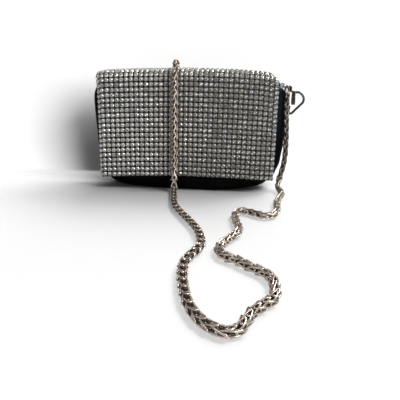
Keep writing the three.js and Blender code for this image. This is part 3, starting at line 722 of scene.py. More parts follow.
def pouch_folds(x, y, z, t, a, b):
    """Depth of the soft folds, pushed into the pouch: gusset creases, slack pleats at the foot, slow dents."""
    end = np.exp(-(y / 4.6) ** 2) * smooth((np.abs(x) - 0.9 * a) / (0.08 * a))
    crease = 3.4 * end * smooth((z - 10.0) / 30.0) * (1 - 0.85 * smooth((z - 84.0) / 22.0))
    side = smooth((np.abs(x) - 62.0) / 30.0)
    pleats = 0.75 * side * smooth((70.0 - z) / 50.0) * (0.5 + 0.5 * np.sin(z * 0.33 + np.abs(x) * 0.21 + 0.6 * np.sin(y * 0.3)))
    belly = 0.55 * smooth((34.0 - z) / 20.0) * smooth((z - 3.0) / 6.0) * (0.5 + 0.5 * np.sin(x * 0.115 + 0.03 * z * np.sin(x * 0.03) + 1.1))
    slow = 0.45 * (0.5 + 0.5 * np.sin(x * 0.052 + z * 0.041 + 0.8)) * (0.5 + 0.5 * np.sin(z * 0.075 - x * 0.019)) * smooth((z - 6.0) / 10.0)
    drag = 0.5 * smooth((y - 4.0) / 8.0) * (0.5 + 0.5 * np.sin(0.17 * x + 0.11 * z)) * smooth((z - 12.0) / 20.0) * smooth((100.0 - z) / 20.0)
    return crease + pleats + belly + slow + drag


def pouch_ring(level, count, inset):
    z, left, right, front, back, square = level
    t = np.arange(count) / count * TAU
    c, s = (np.sign(w) * np.abs(w) ** (2 / square) for w in (np.cos(t), np.sin(t)))
    a, b = np.where(c > 0, right, left), np.where(s > 0, back, front)
    x, y = (a - inset) * c, (b - inset) * s
    bulge = 2.6 * smooth(z / 0.8) * (1 - smooth((z - 3.0) / 9.0))
    y = y - bulge * np.maximum(-s, 0.0) * np.exp(-(((x - 36.0) / 20.0) ** 2))
    zz = z - np.where(c > 0, 7.0, 8.0) * smooth((z - 68.0) / 50.0) * np.abs(c) ** 4
    fold = pouch_folds(a * c, b * s, np.full(count, z), t, a, b)
    out = unit(np.stack([c / a, s / b], 1))
    seam = 0.35 * np.exp(-((z - 8.6) / 0.55) ** 2) + 0.3 * np.exp(-((z - 111.5) / 0.5) ** 2)
    fold = (fold + seam) * smooth(z / 3.0)
    return np.stack([x - out[:, 0] * fold, y - out[:, 1] * fold, zz], 1)


def make_pouch():
    levels = POUCH_LEVELS
    curve = catmull(levels, 12)
    curve[:, 0] = np.maximum.accumulate(np.maximum(curve[:, 0], 0.0))
    count = 240
    rings = [np.array([(0.0, 0.0, 0.25)] * count)]
    for share in (0.35, 0.7, 0.92):
        rings.append(pouch_ring((0.0, *(levels[0][1:5] * share), levels[0][5]), count, 0.0) + np.array([0, 0, 0.12 * (1 - share)]))
    rings += [pouch_ring(level, count, 0.0) for level in curve]
    top = curve[-1]
    for k in range(1, 6):  # rolled rim of the mouth
        h = math.pi * k / 6
        rings.append(pouch_ring(top, count, POUCH_WALL / 2 * (1 - math.cos(h))) + np.array([0, 0, POUCH_WALL / 2 * math.sin(h)]))
    inside = [level for level in curve[::-3] if level[0] > 3.2]
    rings += [pouch_ring(level, count, POUCH_WALL) for level in inside]
    last = inside[-1]
    for share in (0.8, 0.45):
        r = pouch_ring((last[0], *(last[1:5] * share), last[5]), count, POUCH_WALL)
        r[:, 2] = 2.2
        rings.append(r)
    rings.append(np.array([(0.0, 0.0, 2.1)] * count))
    verts = np.vstack(rings)
    faces = []
    for i in range(len(rings) - 1):
        for k in range(count):
            m = (k + 1) % count
            faces.append((i * count + k, i * count + m, (i + 1) * count + m, (i + 1) * count + k))
    pouch = make("pouch", (verts, faces), SATIN, replaces=["body_shell"])
    bm = bmesh.new()
    bm.from_mesh(pouch.data)
    bmesh.ops.remove_doubles(bm, verts=bm.verts, dist=1e-6)
    bmesh.ops.recalc_face_normals(bm, faces=bm.faces)
    bm.to_mesh(pouch.data)
    bm.free()
    pouch.data.polygons.foreach_set("use_smooth", [True] * len(pouch.data.polygons))
    # the cloth is navy-black; its navy is painted on high up and towards the right, where light falls, as painted
    # light, and the rest stays near black as painted shade
    at = np.array([v.co[:] for v in pouch.data.vertices]) / MM
    point_value(pouch, "painted_lit_navy", smooth((at[:, 2] - 30.0) / 55.0) * smooth((at[:, 0] - 10.0) / 50.0))
    # stitches along the foot seam and along the hem of the mouth
    parts = []
    for z, lift, stitch in ((9.9, 0.12, 2.6), (109.6, 0.12, 2.6)):
        k = np.searchsorted(curve[:, 0], z)
        low, high = curve[k - 1], curve[k]
        f = (z - low[0]) / max(high[0] - low[0], 1e-6)
        ring = pouch_ring(low + (high - low) * f, 720, -lift)
        ring = np.vstack([ring, ring[:1]])
        length = np.r_[0, np.cumsum(np.linalg.norm(np.diff(ring, axis=0), axis=1))]
        n = int(length[-1] / 3.4)
        for i in range(n):
            s = np.linspace(0, 1, 5) * stitch + length[-1] * i / n
            path = np.stack([np.interp(s, length, ring[:, k]) for k in range(3)], 1)
            parts.append(wire(path, [0.12, 0.2, 0.23, 0.2, 0.12], 6))
    make("pouch_stitches", join_parts(parts), THREAD)


make_pouch()

# ---------------------------------------------------------------- chain strap

CHAIN_X, CHAIN_VEER, CHAIN_AWAY, CHAIN_R = -10.2, 5.0, 4.3, 3.2
CHAIN_START, CHAIN_END = (-97.5, 26.5, 88.0), (103.9, -9.6, 102.2)
BACK_DRAPE = [(-94.6, 28.9, 79.5), (-84, 28.8, 69), (-65, 28, 63), (-45, 27.4, 67.5), (-29, 26.9, 85), (-18, 26.6, 108)]
TABLE_BENDS = [
    (-7.4, -60.0), (-2.0, -94.9), (7.2, -119.4), (16.1, -138.5), (24.7, -162.3), (28.7, -184.1), (28.5, -196.4), (23.6, -210.2),
    (20.2, -224.6), (20.7, -243.7), (23.4, -263.2), (27.6, -281.1), (32.3, -292.6), (38.0, -301.6), (44.2, -307.5), (51.0, -310.4),
    (55.9, -308.0), (60.3, -299.3), (64.5, -288.8), (71.0, -279.6), (77.8, -270.4), (79.7, -257.3), (78.3, -243.4), (72.9, -235.0),
    (64.8, -227.5), (55.4, -217.3), (46.6, -210.5), (42.8, -199.4), (44.2, -188.5), (49.8, -176.3), (56.8, -160.8), (57.4, -147.8),
    (54.9, -131.1), (54.1, -115.3), (58.2, -105.0), (65.9, -105.8), (73.2, -111.5), (79.7, -115.9), (85.9, -114.6), (91.0, -105.0),
    (93.4, -88.2), (94.3, -72.8), (98.2, -56.2), (101.2, -42.4),
]
RIGHT_HANG = [
    (100.2, -32.5, 4.3), (99.1, -26.0, 5.0), (99.6, -21.4, 10.8), (101.4, -18.5, 18.4), (104.1, -16.5, 28.9), (105.1, -15.5, 40.9),
    (104.9, -14.5, 58.7), (103.9, -13.0, 79.3), (103.6, -11.2, 94.8),
]
LINK_PITCH = 8.7  # between links that face the same way
LINK_A, LINK_B, LINK_C = 2.45, 1.45, 9.4
LINK_WIRE, LINK_WIRE_LOOSE = 0.76, 0.7
INNER_A, INNER_B, INNER_WIRE = 1.15, 0.95, 0.75  # the inner bows, which fill the strand


def chain_slack(y, z):
    """Half thickness: loose links spread where the chain lies, most in the far bow."""
    return CHAIN_R + 0.4 * smooth((20.0 - z) / 12.0) + 0.5 * smooth((-110.0 - y) / 110.0)


def chain_edgewise(x, y, z):
    """1 over the top and down the front, where the strand's square section stands on edge."""
    return smooth((18.0 - y) / 14.0) * smooth((z - 12.0) / 14.0) * smooth((40.0 - x) / 20.0)


def chain_route():
    lift = float(table(FLAP_HANG, "u", "lift", CHAIN_X))
    r = FLAP_R + CHAIN_AWAY + 0.35
    front_centre = float(front_y(CENTRE_Z)) + FLAP_R
    over = [(CHAIN_X - CHAIN_VEER, BACK_CENTRE_Y + r * math.cos(math.radians(d)), CENTRE_Z + lift + r * math.sin(math.radians(d))) for d in (25, 60)]
    over.append((CHAIN_X - CHAIN_VEER / 2, (BACK_CENTRE_Y + front_centre) / 2, CENTRE_Z + lift + r))
    over += [(CHAIN_X, front_centre + r * math.cos(math.radians(d)), CENTRE_Z + lift + r * math.sin(math.radians(d))) for d in (115, 150)]
    front = [(CHAIN_X, float(front_y(z)) - CHAIN_AWAY, z) for z in (104, 75, 45, 22)]
    landing = [(CHAIN_X + 0.2, -35.4, 10.5), (-9.4, -43.0, 4.6)]
    laid = [(x, y, float(chain_slack(y, 0.0)) + 0.1) for x, y in TABLE_BENDS]
    return [CHAIN_START, *BACK_DRAPE, *over, *front, *landing, *laid, *RIGHT_HANG, CHAIN_END]


def link_template(a, b, thick, n, sides):
    """One bent wire link: its waist lies across the axis, its two bows flare out along the axis.
    Columns: across, across, along. Gives the wire's middle line and its skin apart, and the faces."""
    t = (np.arange(n) + 0.5) / n * TAU
    c = np.cos(t)
    path = np.stack([a * np.sign(c) * np.abs(c) ** 0.92, b * np.sin(t), LINK_C * np.abs(c) ** 1.45], 1)
    verts, faces = wire(path, thick, sides, first=(0.1, 0.2, 1.0), closed=True)
    middle = np.repeat(path, sides, 0)
    return middle, verts - middle, faces


def make_chain():
    dense = resample(catmull(chain_route(), 40), 4000)
    s = np.r_[0, np.cumsum(np.linalg.norm(np.diff(dense, axis=0), axis=1))]
    tangent, normal, side = carried_frames(dense, (0.0, 1.0, 0.0))
    # the strand shows its flat herringbone face outwards; it is rolled a little where it hangs
    front = (dense[:, 2] > 20) & (dense[:, 1] < -20) & (np.abs(dense[:, 0] - CHAIN_X) < 2)
    i = np.where(front)[0][len(np.where(front)[0]) // 2]
    out = np.array([0.0, -1.0, 0.0])
    offset = math.atan2(float(out @ side[i]), float(out @ normal[i]))
    hang = smooth((dense[:, 2] - 8.0) / 20.0)
    roll = offset + math.radians(25) * hang + 0.16 * np.sin(s / 47.0) * (1 - hang) + 0.10 * np.sin(s / 19.0 + 1.0) * (1 - hang)
    c, d = np.cos(roll)[:, None], np.sin(roll)[:, None]
    normal, side = normal * c + side * d, -normal * d + side * c
    loose = chain_slack(dense[:, 1], dense[:, 2]) / CHAIN_R
    edge = chain_edgewise(*dense.T)
    dense = dense - np.outer(0.9 * edge * (1 - smooth((dense[:, 2] - 116.0) / 10.0)), (1.0, 0.0, 0.0))
    spread = loose * (1 + 0.52 * edge * (1 - 0.6 * smooth((dense[:, 2] - 116.0) / 10.0))) * (1 - 0.4 * smooth((s - s[-1] + 8.0) / 8.0))
    # the hanging strands are painted darker as shade, the right one most
    tone = 1 - smooth((dense[:, 2] - 5.0) / 16.0) * np.where(dense[:, 0] < 40, 0.22, 0.68)
    # links are drawn out where the chain was pulled forward over the table; drawn counts the length in links' own measure
    stretch = 1 + 0.16 * (1 - hang) * tangent[:, 1] ** 2
    window = np.hanning(161)
    stretch = np.convolve(np.pad(stretch, 80, mode="edge"), window / window.sum(), mode="valid")
    drawn = np.r_[0, np.cumsum(np.diff(s) / (0.5 * (stretch[1:] + stretch[:-1])))]
    count = round((drawn[-1] - LINK_C - 1.2) / (LINK_PITCH / 2)) + 1
    step = (drawn[-1] - LINK_C - 1.2) / (count - 1)

    def strand(a, b, thick, thick_loose, n, sides, shift, jitter):
        middle, skin, faces = link_template(a, b, thick, n, sides)
        at, local, reach = [], [], []
        for i in range(count):
            start = 0.6 + (i + shift) * step
            here = np.interp(start + LINK_C / 2, drawn, s)
            k = float(np.interp(here, s, spread))
            wide = float(thick + (thick_loose - thick) * smooth((np.interp(here, s, loose) - 1) / 0.12))
            wide *= 1 + 0.12 * float(np.interp(here, s, edge))
            grow = ((a + thick) * k - wide) / a
            t = middle * np.array([grow, grow, 1.0]) + skin * (wide / thick)
            if i % 2:
                t = np.stack([-t[:, 1], t[:, 0], t[:, 2]], 1)
            at.append(np.interp(start + t[:, 2], drawn, s))
            reach.append(np.linalg.norm(t[:, :2], axis=1) / k)
            local.append(t[:, :2] + rng.normal(0, jitter, 2))
        at, local, reach = np.clip(np.concatenate(at), 0, s[-1]), np.concatenate(local), np.concatenate(reach)
        pick = lambda field: np.stack([np.interp(at, s, field[:, k]) for k in range(3)], 1)
        verts = pick(dense) + local[:, :1] * unit(pick(side)) + local[:, 1:] * unit(pick(normal))
        # down the front the strand's left side is painted dark as shade and its right edge painted light as a highlight
        painted_side_light = np.interp(verts[:, 0] - pick(dense)[:, 0], [-4.0, -2.4, -1.5, 0.8, 1.7, 2.6, 3.4, 4.4], [0.5, 0.55, 1.1, 1.1, 0.6, 0.75, 1.5, 1.6])
        tones = np.interp(at, s, tone) * (1 + np.interp(at, s, edge) * (painted_side_light - 1))
        verts[:, 2] = np.maximum(verts[:, 2], 0.02)
        n = len(middle)
        return (verts, [tuple(q + i * n for q in f) for i in range(count) for f in faces]), reach, tones, np.interp(at, s, edge)

    links, reach, tones, on_edge = strand(LINK_A, LINK_B, LINK_WIRE, LINK_WIRE_LOOSE, 34, 8, 0.0, 0.06)
    inner, _, inner_tones, inner_edge = strand(INNER_A, INNER_B, INNER_WIRE, INNER_WIRE, 20, 6, 0.0, 0.0)
    # oval end ring from the last link into the right D ring
    low, high = np.array((103.9, -9.9, 100.9)), np.array((102.9, -4.9, 108.3))
    centre, long = (low + high) / 2, (high - low) / 2
    across = unit(np.cross(long, (0.35, 0.9, 0.0))) * 1.75
    t = np.arange(40) / 40 * TAU
    oval = wire(centre + np.outer(np.cos(t), long) + np.outer(np.sin(t), across), 1.12, 12, closed=True)
    chain = make("chain_links", join_parts([links, oval]), CHAIN_METAL, replaces=["chain"])
    # painted shade: the wire is darkened towards the strand's core where the links shade each other, less where the
    # chain lies flat or stands on edge; the inner bows are painted darker still
    lying = smooth((tones - 0.9) / 0.1) * (1 - on_edge)
    point_value(chain, "crevice_shade", np.r_[1 - smooth((reach - 1.1 + 0.2 * lying + 0.45 * on_edge) / 1.5), np.zeros(len(oval[0]))])
    # the oval end ring's upper end is painted dark as shade
    point_value(chain, "tone", np.r_[tones, 0.85 - 0.7 * smooth((oval[0][:, 2] - 103.0) / 3.5)])
    core = make("chain_inner_bows", inner, CHAIN_METAL)
    point_value(core, "crevice_shade", 1 - 0.2 * smooth((inner_tones - 0.9) / 0.1) * (1 - inner_edge) - 0.5 * inner_edge)
    point_value(core, "tone", inner_tones)


make_chain()

# ---------------------------------------------------------------- end fittings

TAB_WIDTH, TAB_STRAP, TAB_LENGTH = 8.0, 1.2, 5.0
RING_HALF, RING_DEPTH, RING_WIRE = 5.2, 7.2, 0.6
RING_DROOP = math.atan2(0.39, 0.92)
RIGHT_ROOT = ((97.6, 0.0, 108.2), 0.0)
LEFT_ROOT = ((-94.6, 10.5, 106.0), math.radians(125.7))
HOLE = (TAB_LENGTH - 2.4, 0.8)
EYE_R, EYE_WIRE = 1.75, 0.85
CLASP_Y = 0.3


def ring_outer():
    return np.array([HOLE[0] + RING_DEPTH * math.cos(RING_DROOP), 0.0, HOLE[1] - RING_DEPTH * math.sin(RING_DROOP)])


def tab_part():
    """Folded strap: both layers side by side at the root, opened round the ring's bar."""
    r = RING_WIRE + 0.3 + TAB_STRAP / 2
    arc = [(HOLE[0] + r * math.cos(t), HOLE[1] + r * math.sin(t)) for t in np.linspace(-0.85, math.pi / 2, 12)]
    path = [(-2.4, -1.75), (1.1, -1.75), (2.3, -1.3), *arc, (1.6, HOLE[1] + r), (-2.4, HOLE[1] + r - 0.4)]
    line = resample(catmull([(x, 0.0, z) for x, z in path], 8), 60)
    tangent = unit(np.gradient(line, axis=0))
    normal = np.stack([-tangent[:, 2], np.zeros(len(line)), tangent[:, 0]], 1)
    n = 28
    t = np.arange(n) / n * TAU
    w = TAB_WIDTH / 2 * np.sign(np.cos(t)) * np.abs(np.cos(t)) ** 0.28
    h = TAB_STRAP / 2 * np.sign(np.sin(t)) * np.abs(np.sin(t)) ** 0.55
    verts = (line[:, None, :] + w[None, :, None] * np.array([0.0, 1.0, 0.0]) + h[None, :, None] * normal[:, None, :]).reshape(-1, 3)
    faces = []
    for i in range(len(line) - 1):
        for k in range(n):
            m = (k + 1) % n
            faces.append((i * n + k, i * n + m, (i + 1) * n + m, (i + 1) * n + k))
    faces.append(tuple(range(n - 1, -1, -1)))
    faces.append(tuple((len(line) - 1) * n + k for k in range(n)))
    # stay ribbon laid between the two layers
    end = [(HOLE[0] - 0.3 + (r - 0.2) * math.cos(t), HOLE[1] + (r - 0.2) * math.sin(t)) for t in np.linspace(-0.7, math.pi / 2, 9)]
    stay = plate([(-2.4, -1.6), (1.1, -1.6), (2.2, -1.15), *end, (-2.4, HOLE[1] + r - 0.4)], TAB_WIDTH - 0.7, 0.25)
    return join_parts([(verts, faces), stay])


def tab_stitch_parts():
    parts = []
    z = HOLE[1] + RING_WIRE + 0.3 + TAB_STRAP + 0.03
    for edge in (-3.1, 3.1):
        for x in (0.6, 1.9):
            parts.append(wire([(x, edge, z), (x + 0.45, edge, z + 0.06), (x + 0.9, edge, z)], [0.1, 0.17, 0.1], 6))
    for y in (-1.95, -0.65, 0.65):
        parts.append(wire([(0.75, y, z), (0.75, y + 0.45, z + 0.06), (0.75, y + 0.9, z)], [0.1, 0.17, 0.1], 6))
    return parts


def ring_part():
    t = np.linspace(-math.pi / 2, math.pi / 2, 41)
    bow = np.stack([RING_DEPTH * np.cos(t).clip(0) ** 0.8, RING_HALF * np.sin(t), 0 * t], 1)
    bar = np.stack([np.zeros(15), np.linspace(RING_HALF, -RING_HALF, 17)[1:-1], np.zeros(15)], 1)
    path = np.vstack([bow, bar])
    path = resample(np.vstack([path, path[:1]]), 97)[:-1]
    part = wire(path, RING_WIRE, 14, first=(0.0, 0.0, 1.0), closed=True)
    return moved(part, turn("y", RING_DROOP), (HOLE[0], 0.0, HOLE[1]))


def torus_part(radius, wire_radius, plane="xz", segments=44, sides=12):
    t = np.arange(segments) / segments * TAU
    c, s, o = radius * np.cos(t), radius * np.sin(t), np.zeros(segments)
    path = {"xz": np.stack([c, o, s], 1), "xy": np.stack([c, s, o], 1), "yz": np.stack([o, c, s], 1)}[plane]
    first = {"xz": (0, 1, 0), "xy": (0, 0, 1), "yz": (1, 0, 0)}[plane]
    return wire(path, wire_radius, sides, first=first, closed=True)


def placed(part, root):
    (x, y, z), angle = root
    return moved(part, turn("z", angle), (x, y, z))


HOOK_BENDS = [
    (109.0, 102.9), (110.9, 102.2), (113.2, 102.0), (116.6, 102.0), (120.3, 99.3), (122.0, 95.6), (121.4, 91.8), (118.4, 88.5),
    (115.3, 85.3), (112.4, 82.2), (110.3, 80.2), (108.3, 80.0), (107.2, 81.9), (107.3, 84.6), (108.0, 87.0),
]
HOOK_WIRE = 1.25
PIVOT = (111.2, 98.7)
LEVER_HUB, LEVER_BORE, LEVER_THICK, LEVER_WIDTH, LEVER_LENGTH = 1.9, 1.25, 2.0, 4.2, 9.6
CHEEK = 0.9


def round_box(x, y, z, edge):
    o = []
    for cx, cz, a in ((x - edge, -z + edge, -90), (x - edge, z - edge, 0), (-x + edge, z - edge, 90), (-x + edge, -z + edge, 180)):
        for k in range(5):
            t = math.radians(a + 22.5 * k)
            o.append((cx + edge * math.cos(t), cz + edge * math.sin(t)))
    return plate(o, 2 * y, min(edge, y) * 0.6)


def make_fittings():
    for side, root in (("right", RIGHT_ROOT), ("left", LEFT_ROOT)):
        make(f"{side}_tab_strap", placed(tab_part(), root), PAINTED_SHEEN_RIBBON, replaces=[f"{side}_tab"], sharp=60)
        make(f"{side}_tab_stitches", placed(join_parts(tab_stitch_parts()), root), THREAD)
        make(f"{side}_d_ring", placed(ring_part(), root), NICKEL, replaces=[f"{side}_ring"])
    # right clasp: eye, neck, cheeks with their pin, and the bent wire hook
    eye = np.array(RIGHT_ROOT[0]) + ring_outer()
    eye[1] = CLASP_Y
    hook = resample(catmull([(x, CLASP_Y, z) for x, z in HOOK_BENDS], 14), 110)
    reach = np.linspace(0, 1, len(hook))
    thick = HOOK_WIRE * (1.0 - 0.16 * smooth((reach - 0.9) / 0.1))
    parts = [wire(hook, thick, 14, first=(0, 1, 0))]
    ball = [(2.2 * math.sin(k / 14 * math.pi), -2.2 * math.cos(k / 14 * math.pi)) for k in range(15)]
    swivel = [moved(torus_part(EYE_R, EYE_WIRE), at=eye), moved(lathe(ball, 24), at=eye + np.array([0.35, 0.0, -0.3]))]
    make("clasp_swivel_eye", join_parts(swivel), BLACK_METAL)
    neck = [(0.0, -1.5), (0.8, -1.45), (1.25, -1.0), (1.4, -0.2), (1.4, 0.3), (1.15, 0.75), (1.15, 1.0), (1.35, 1.2), (1.2, 1.55), (0.0, 1.6)]
    parts.append(moved(lathe(neck, 20), turn("y", math.radians(-36.6)), (HOOK_BENDS[0][0] - 0.3, CLASP_Y, HOOK_BENDS[0][1] + 0.3)))
    span = LEVER_THICK / 2 + 0.4 + CHEEK
    cheek = [(LEVER_HUB * math.cos(t), LEVER_HUB * math.sin(t)) for t in np.linspace(-math.pi - 0.35, 0.35, 22)]
    cheek += [(1.7, 3.2), (1.5, 4.0), (0.9, 4.2), (-0.6, 4.2), (-1.1, 4.0), (-1.3, 3.2)]
    for s in (1, -1):
        parts.append(moved(plate(cheek, CHEEK, 0.28), at=(PIVOT[0], CLASP_Y + s * (span - CHEEK / 2), PIVOT[1])))
        head = [(0.0, -0.5), (1.0, -0.5), (1.0, 0.0), (0.85, 0.22), (0.5, 0.34), (0.0, 0.38)]
        parts.append(moved(lathe(head, 18), turn("x", -s * math.pi / 2), (PIVOT[0], CLASP_Y + s * (span - 0.1), PIVOT[1])))
    parts.append(moved(round_box(1.5, span - 0.05, 0.75, 0.35), at=(PIVOT[0] + 0.2, CLASP_Y, PIVOT[1] + 3.4)))
    parts.append(wire([(PIVOT[0], CLASP_Y - span + 0.6, PIVOT[1]), (PIVOT[0], CLASP_Y, PIVOT[1]), (PIVOT[0], CLASP_Y + span - 0.6, PIVOT[1])], 0.9, 16))
    make("clasp_hook_body", join_parts(parts), GUNMETAL, replaces=["clasp_hook"], sharp=50)
    # lever: flat bar with a rounded lower end and three thumb ridges on its outer edge
    w = LEVER_WIDTH / 2
    o = [(LEVER_HUB * math.cos(t), LEVER_HUB * math.sin(t)) for t in np.linspace(-0.2, math.pi + 0.2, 26)]
    low = [(-w, -3.0), (-w, -6.0), (-w, -LEVER_LENGTH + 1.2), (-w + 0.3, -LEVER_LENGTH + 0.4), (-w + 1.0, -LEVER_LENGTH),
           (w - 0.4, -LEVER_LENGTH), (w + 0.05, -LEVER_LENGTH + 0.3), (w + 0.2, -LEVER_LENGTH + 1.0)]
    ridge = [(w + 0.02 + 0.16 * (0.5 - 0.5 * math.cos(k / 4 * TAU)), -8.2 + 0.2 * k) for k in range(22)]
    ring = np.array(o + low + ridge + [(w, -3.0)])
    n = len(ring)
    bore = np.array([(LEVER_BORE * math.cos(t), LEVER_BORE * math.sin(t)) for t in np.linspace(0, TAU, 32, endpoint=False)])
    lever = plate(ring, LEVER_THICK, 0.3)
    # the face is closed round the bore, so the end faces become rings with a hole
    verts, faces = lever
    faces = faces[:-2]
    base = len(verts)
    last = base - n
    hole = np.vstack([np.stack([bore[:, 0], np.full(32, y), bore[:, 1]], 1) for y in (-LEVER_THICK / 2, LEVER_THICK / 2)])
    verts = np.vstack([verts, hole])
    for k in range(32):
        faces.append((base + k, base + (k + 1) % 32, base + 32 + (k + 1) % 32, base + 32 + k))
    for start, hole_start in ((0, base), (last, base + 32)):
        q = verts[start : start + n][:, [0, 2]]
        near = [int(np.argmin(np.abs(np.angle(np.exp(1j * (np.arctan2(bore[:, 1], bore[:, 0]) - math.atan2(p[1], p[0]))))))) for p in q]
        for k in range(n):
            m = (k + 1) % n
            steps = (near[m] - near[k]) % 32
            if steps > 16:
                steps = 0
            fan = [hole_start + (near[k] + j) % 32 for j in range(steps + 1)]
            faces.append(tuple([start + k, start + m] + fan[::-1]))
    make("clasp_lever_bar", moved((verts, faces), at=(PIVOT[0], CLASP_Y, PIVOT[1])), LEVER_METAL, body="lever",
         replaces=["clasp_lever"], sharp=45)
    # left end: eye on the ring and a turned barrel down to the chain
    angle = LEFT_ROOT[1]
    outer = ring_outer()
    eye = np.array([LEFT_ROOT[0][0] + math.cos(angle) * outer[0], LEFT_ROOT[0][1] + math.sin(angle) * outer[0], LEFT_ROOT[0][2] + outer[2]])
    to = np.array(CHAIN_START)
    along = unit(to - eye)
    length = float(np.linalg.norm(to - eye)) - 1.0 - (EYE_R + 0.2)
    profile = [(0.0, 0.0), (1.2, 0.0), (1.7, 0.25), (1.85, 0.7), (1.5, 1.1), (1.5, 1.5), (2.1, 1.9), (2.3, 2.5),
               (2.3, length - 1.8), (2.05, length - 1.5), (2.05, length - 1.2), (2.3, length - 0.9), (2.25, length - 0.3), (1.8, length), (0.0, length)]
    zx = unit(np.cross((0.0, 1.0, 0.0), along))
    basis = np.stack([zx, np.cross(along, zx), along], 1)
    barrel = moved(lathe(profile, 28), basis, eye + along * (EYE_R + 0.2))
    ring = moved(torus_part(EYE_R, EYE_WIRE), turn("z", angle), eye)
    make("left_clasp_barrel", join_parts([ring, barrel]), GUNMETAL, replaces=["left_clasp"], sharp=50)


make_fittings()

# ---------------------------------------------------------------- floor and light


BESIDE_FADE = (-0.018, 0.018)  # where the floor beside the bag fades in, along y
SWEEP_FROM, SWEEP_FADE = 0.034, (0.0338, 0.037)  # where the backdrop leaves the floor behind the bag, and where it fades in


def make_stage():
    scene = bpy.context.scene
    scene.view_settings.view_transform = "Standard"
    scene.view_settings.look = "None"
    scene.view_settings.exposure = 0.0
    scene.view_settings.gamma = 1.0

    def floor_layer(name, z):
        m = bpy.data.materials.new(name)
        m.use_nodes = True
        bsdf = m.node_tree.nodes["Principled BSDF"]
        bsdf.inputs["Base Color"].default_value = (0.22, 0.22, 0.22, 1.0)
        bsdf.inputs["Roughness"].default_value = 0.9
        bsdf.inputs["Specular IOR Level"].default_value = 0.1
        mesh = bpy.data.meshes.new(name)
        e = 9.0
        mesh.from_pydata([(-e, -e, z), (e, -e, z), (e, e, z), (-e, e, z)], [], [(0, 1, 2, 3)])
        layer = bpy.data.objects.new(name, mesh)
        scene.collection.objects.link(layer)
        mesh.materials.append(m)
        return layer, m.node_tree, bsdf

    def fade_in(layer, tree, bsdf, span):
        # seen by the camera only, from its front only, and clear before the span along y
        layer.visible_diffuse = layer.visible_glossy = layer.visible_transmission = layer.visible_shadow = False
        where = tree.nodes.new("ShaderNodeTexCoord")
        axes = tree.nodes.new("ShaderNodeSeparateXYZ")
        tree.links.new(where.outputs["Object"], axes.inputs[0])
        fade = tree.nodes.new("ShaderNodeMapRange")
        fade.interpolation_type = "SMOOTHSTEP"
        for socket, value in (("From Min", span[0]), ("From Max", span[1]), ("To Min", 0.0), ("To Max", 1.0)):
            fade.inputs[socket].default_value = value
        tree.links.new(axes.outputs["Y"], fade.inputs["Value"])
        face = tree.nodes.new("ShaderNodeNewGeometry")
        front = tree.nodes.new("ShaderNodeMath")
        front.operation = "SUBTRACT"
        front.use_clamp = True
        tree.links.new(fade.outputs["Result"], front.inputs[0])
        tree.links.new(face.outputs["Backfacing"], front.inputs[1])
        clear = tree.nodes.new("ShaderNodeBsdfTransparent")
        blend = tree.nodes.new("ShaderNodeMixShader")
        tree.links.new(front.outputs[0], blend.inputs[0])
        tree.links.new(clear.outputs[0], blend.inputs[1])
        tree.links.new(bsdf.outputs[0], blend.inputs[2])
        tree.links.new(blend.outputs[0], tree.nodes["Material Output"].inputs["Surface"])

    # a pale floor in two layers, in front of the bag and beside it, and a pale backdrop that rises behind it, each with lights
    # of its own
    floor, _, _ = floor_layer("floor", -0.0006)
    beside, tree, bsdf = floor_layer("floor_beside", -0.0003)
    fade_in(beside, tree, bsdf, BESIDE_FADE)
    sweep, tree, bsdf = floor_layer("backdrop", 0.0)
    fade_in(sweep, tree, bsdf, SWEEP_FADE)
    steps = 60
    tilt = np.radians(52.0 + 36.0 * smooth(np.linspace(0.0, 3.4, steps) / 1.2))
    y = SWEEP_FROM + np.concatenate([[0.0], np.cumsum(np.cos(tilt))[:-1]]) * 0.34 / steps
    z = -0.0006 + np.concatenate([[0.0], np.cumsum(np.sin(tilt))[:-1]]) * 0.34 / steps
    side = 0.6
    points = [(x, float(y[k]), float(z[k])) for k in range(steps) for x in (-side, side)]
    mesh = bpy.data.meshes.new("backdrop")
    mesh.from_pydata(points, [], [(2 * k, 2 * k + 1, 2 * k + 3, 2 * k + 2) for k in range(steps - 1)])
    mesh.polygons.foreach_set("use_smooth", [True] * len(mesh.polygons))
    mesh.materials.append(sweep.data.materials[0])
    sweep.data = mesh
    layers = [floor, beside, sweep]

    world = bpy.data.worlds.new("studio")
    scene.world = world
    world.use_nodes = True
    tree = world.node_tree
    tree.nodes.clear()
    out = tree.nodes.new("ShaderNodeOutputWorld")
    place = tree.nodes.new("ShaderNodeTexCoord")
    split = tree.nodes.new("ShaderNodeSeparateXYZ")
    tree.links.new(place.outputs["Generated"], split.inputs[0])
    height = tree.nodes.new("ShaderNodeValToRGB")
    stops = [(0.0, 0.10), (0.12, 0.14), (0.5, 0.42), (1.0, 0.95)]
    elements = height.color_ramp.elements
    while len(elements) < len(stops):
        elements.new(0.5)
    for el, (at, level) in zip(elements, stops):
        el.position, el.color = at, (level, level, level * 1.01, 1.0)
    tree.links.new(split.outputs["Z"], height.inputs["Fac"])
    soft = tree.nodes.new("ShaderNodeBackground")
    soft.inputs["Strength"].default_value = 0.75
    tree.links.new(height.outputs["Color"], soft.inputs["Color"])
    white = tree.nodes.new("ShaderNodeBackground")
    white.inputs["Color"].default_value = (1.0, 1.0, 1.0, 1.0)
    white.inputs["Strength"].default_value = 1.05
    path = tree.nodes.new("ShaderNodeLightPath")
    mix = tree.nodes.new("ShaderNodeMixShader")
    tree.links.new(path.outputs["Is Camera Ray"], mix.inputs[0])
    tree.links.new(soft.outputs[0], mix.inputs[1])
    tree.links.new(white.outputs[0], mix.inputs[2])
    tree.links.new(mix.outputs[0], out.inputs["Surface"])

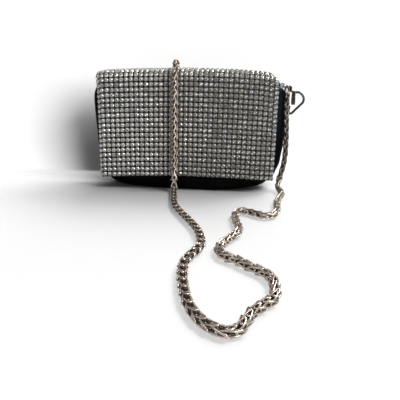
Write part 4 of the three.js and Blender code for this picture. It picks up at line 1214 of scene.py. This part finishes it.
    # some lights shine on a floor layer alone, some on all but the floor, so that bag and shadow can be lit apart
    shone_on = {}
    for name, on, state in (("front", layers[:1], "INCLUDE"), ("beside", layers[1:2], "INCLUDE"), ("behind", layers[2:], "INCLUDE"), ("not_floor", layers, "EXCLUDE")):
        shone_on[name] = bpy.data.collections.new(name)
        for k, layer in enumerate(on):
            shone_on[name].objects.link(layer)
            shone_on[name].collection_objects[k].light_linking.link_state = state

    bag_only = bpy.data.collections.new("bag_only")
    for k, piece in enumerate(("pouch", "flap_ground", "flap_stones")):
        bag_only.objects.link(bpy.data.objects[piece])
        bag_only.collection_objects[k].light_linking.link_state = "INCLUDE"

    def sun(name, toward, strength, spread, colour=(1, 1, 1), receivers="not_floor", blockers=None):
        data = bpy.data.lights.new(name, "SUN")
        data.energy, data.color, data.angle = strength, colour, math.radians(spread)
        light = bpy.data.objects.new(name, data)
        scene.collection.objects.link(light)
        z = unit(np.array(toward, float))
        x = unit(np.cross((0.0, 1.0, 0.0), z))
        mm = np.eye(4)
        mm[:3, 0], mm[:3, 1], mm[:3, 2] = x, np.cross(z, x), z
        light.matrix_world = Matrix(mm.tolist())
        light.light_linking.receiver_collection = shone_on[receivers]
        if blockers is not None:
            light.light_linking.blocker_collection = blockers

    sun("key", (0.66, 0.5, 0.8), 2.5, 18.0, (1.0, 0.985, 0.96))
    sun("low", (0.8, -0.8, 0.36), 1.85, 26.0, (0.98, 0.99, 1.0))
    sun("top", (-0.15, -0.1, 1.0), 0.6, 60.0)
    # columns: floor layer, bearing from the y axis towards the right, height, strength, spread, what blocks it
    floor_lights = [
        ("front", 92, 64, 4.1, 24, None),
        ("front", 60, 58, 1.5, 26, bag_only),
        ("front", 43, 46, 3.748, 26, bag_only),
        ("front", 62, 46, 2.652, 26, bag_only),
        ("front", 8, 36, 2.4, 26, bag_only),
        ("front", 20, 46, 2.364, 26, bag_only),
        ("beside", 106, 66, 7.6, 50, bag_only),
        ("beside", 133, 38, 10.4, 50, bag_only),
        ("behind", 133, 22, 14.6, 36, bag_only),
        ("behind", 132, 34, 6.0, 44, bag_only),
    ]
    for k, (receivers, bearing, height, strength, spread, blockers) in enumerate(floor_lights):
        b, h = math.radians(bearing), math.radians(height)
        toward = (math.sin(b) * math.cos(h), math.cos(b) * math.cos(h), math.sin(h))
        sun("floor_%s_%d" % (receivers, k), toward, strength, spread, receivers=receivers, blockers=blockers)


make_stage()
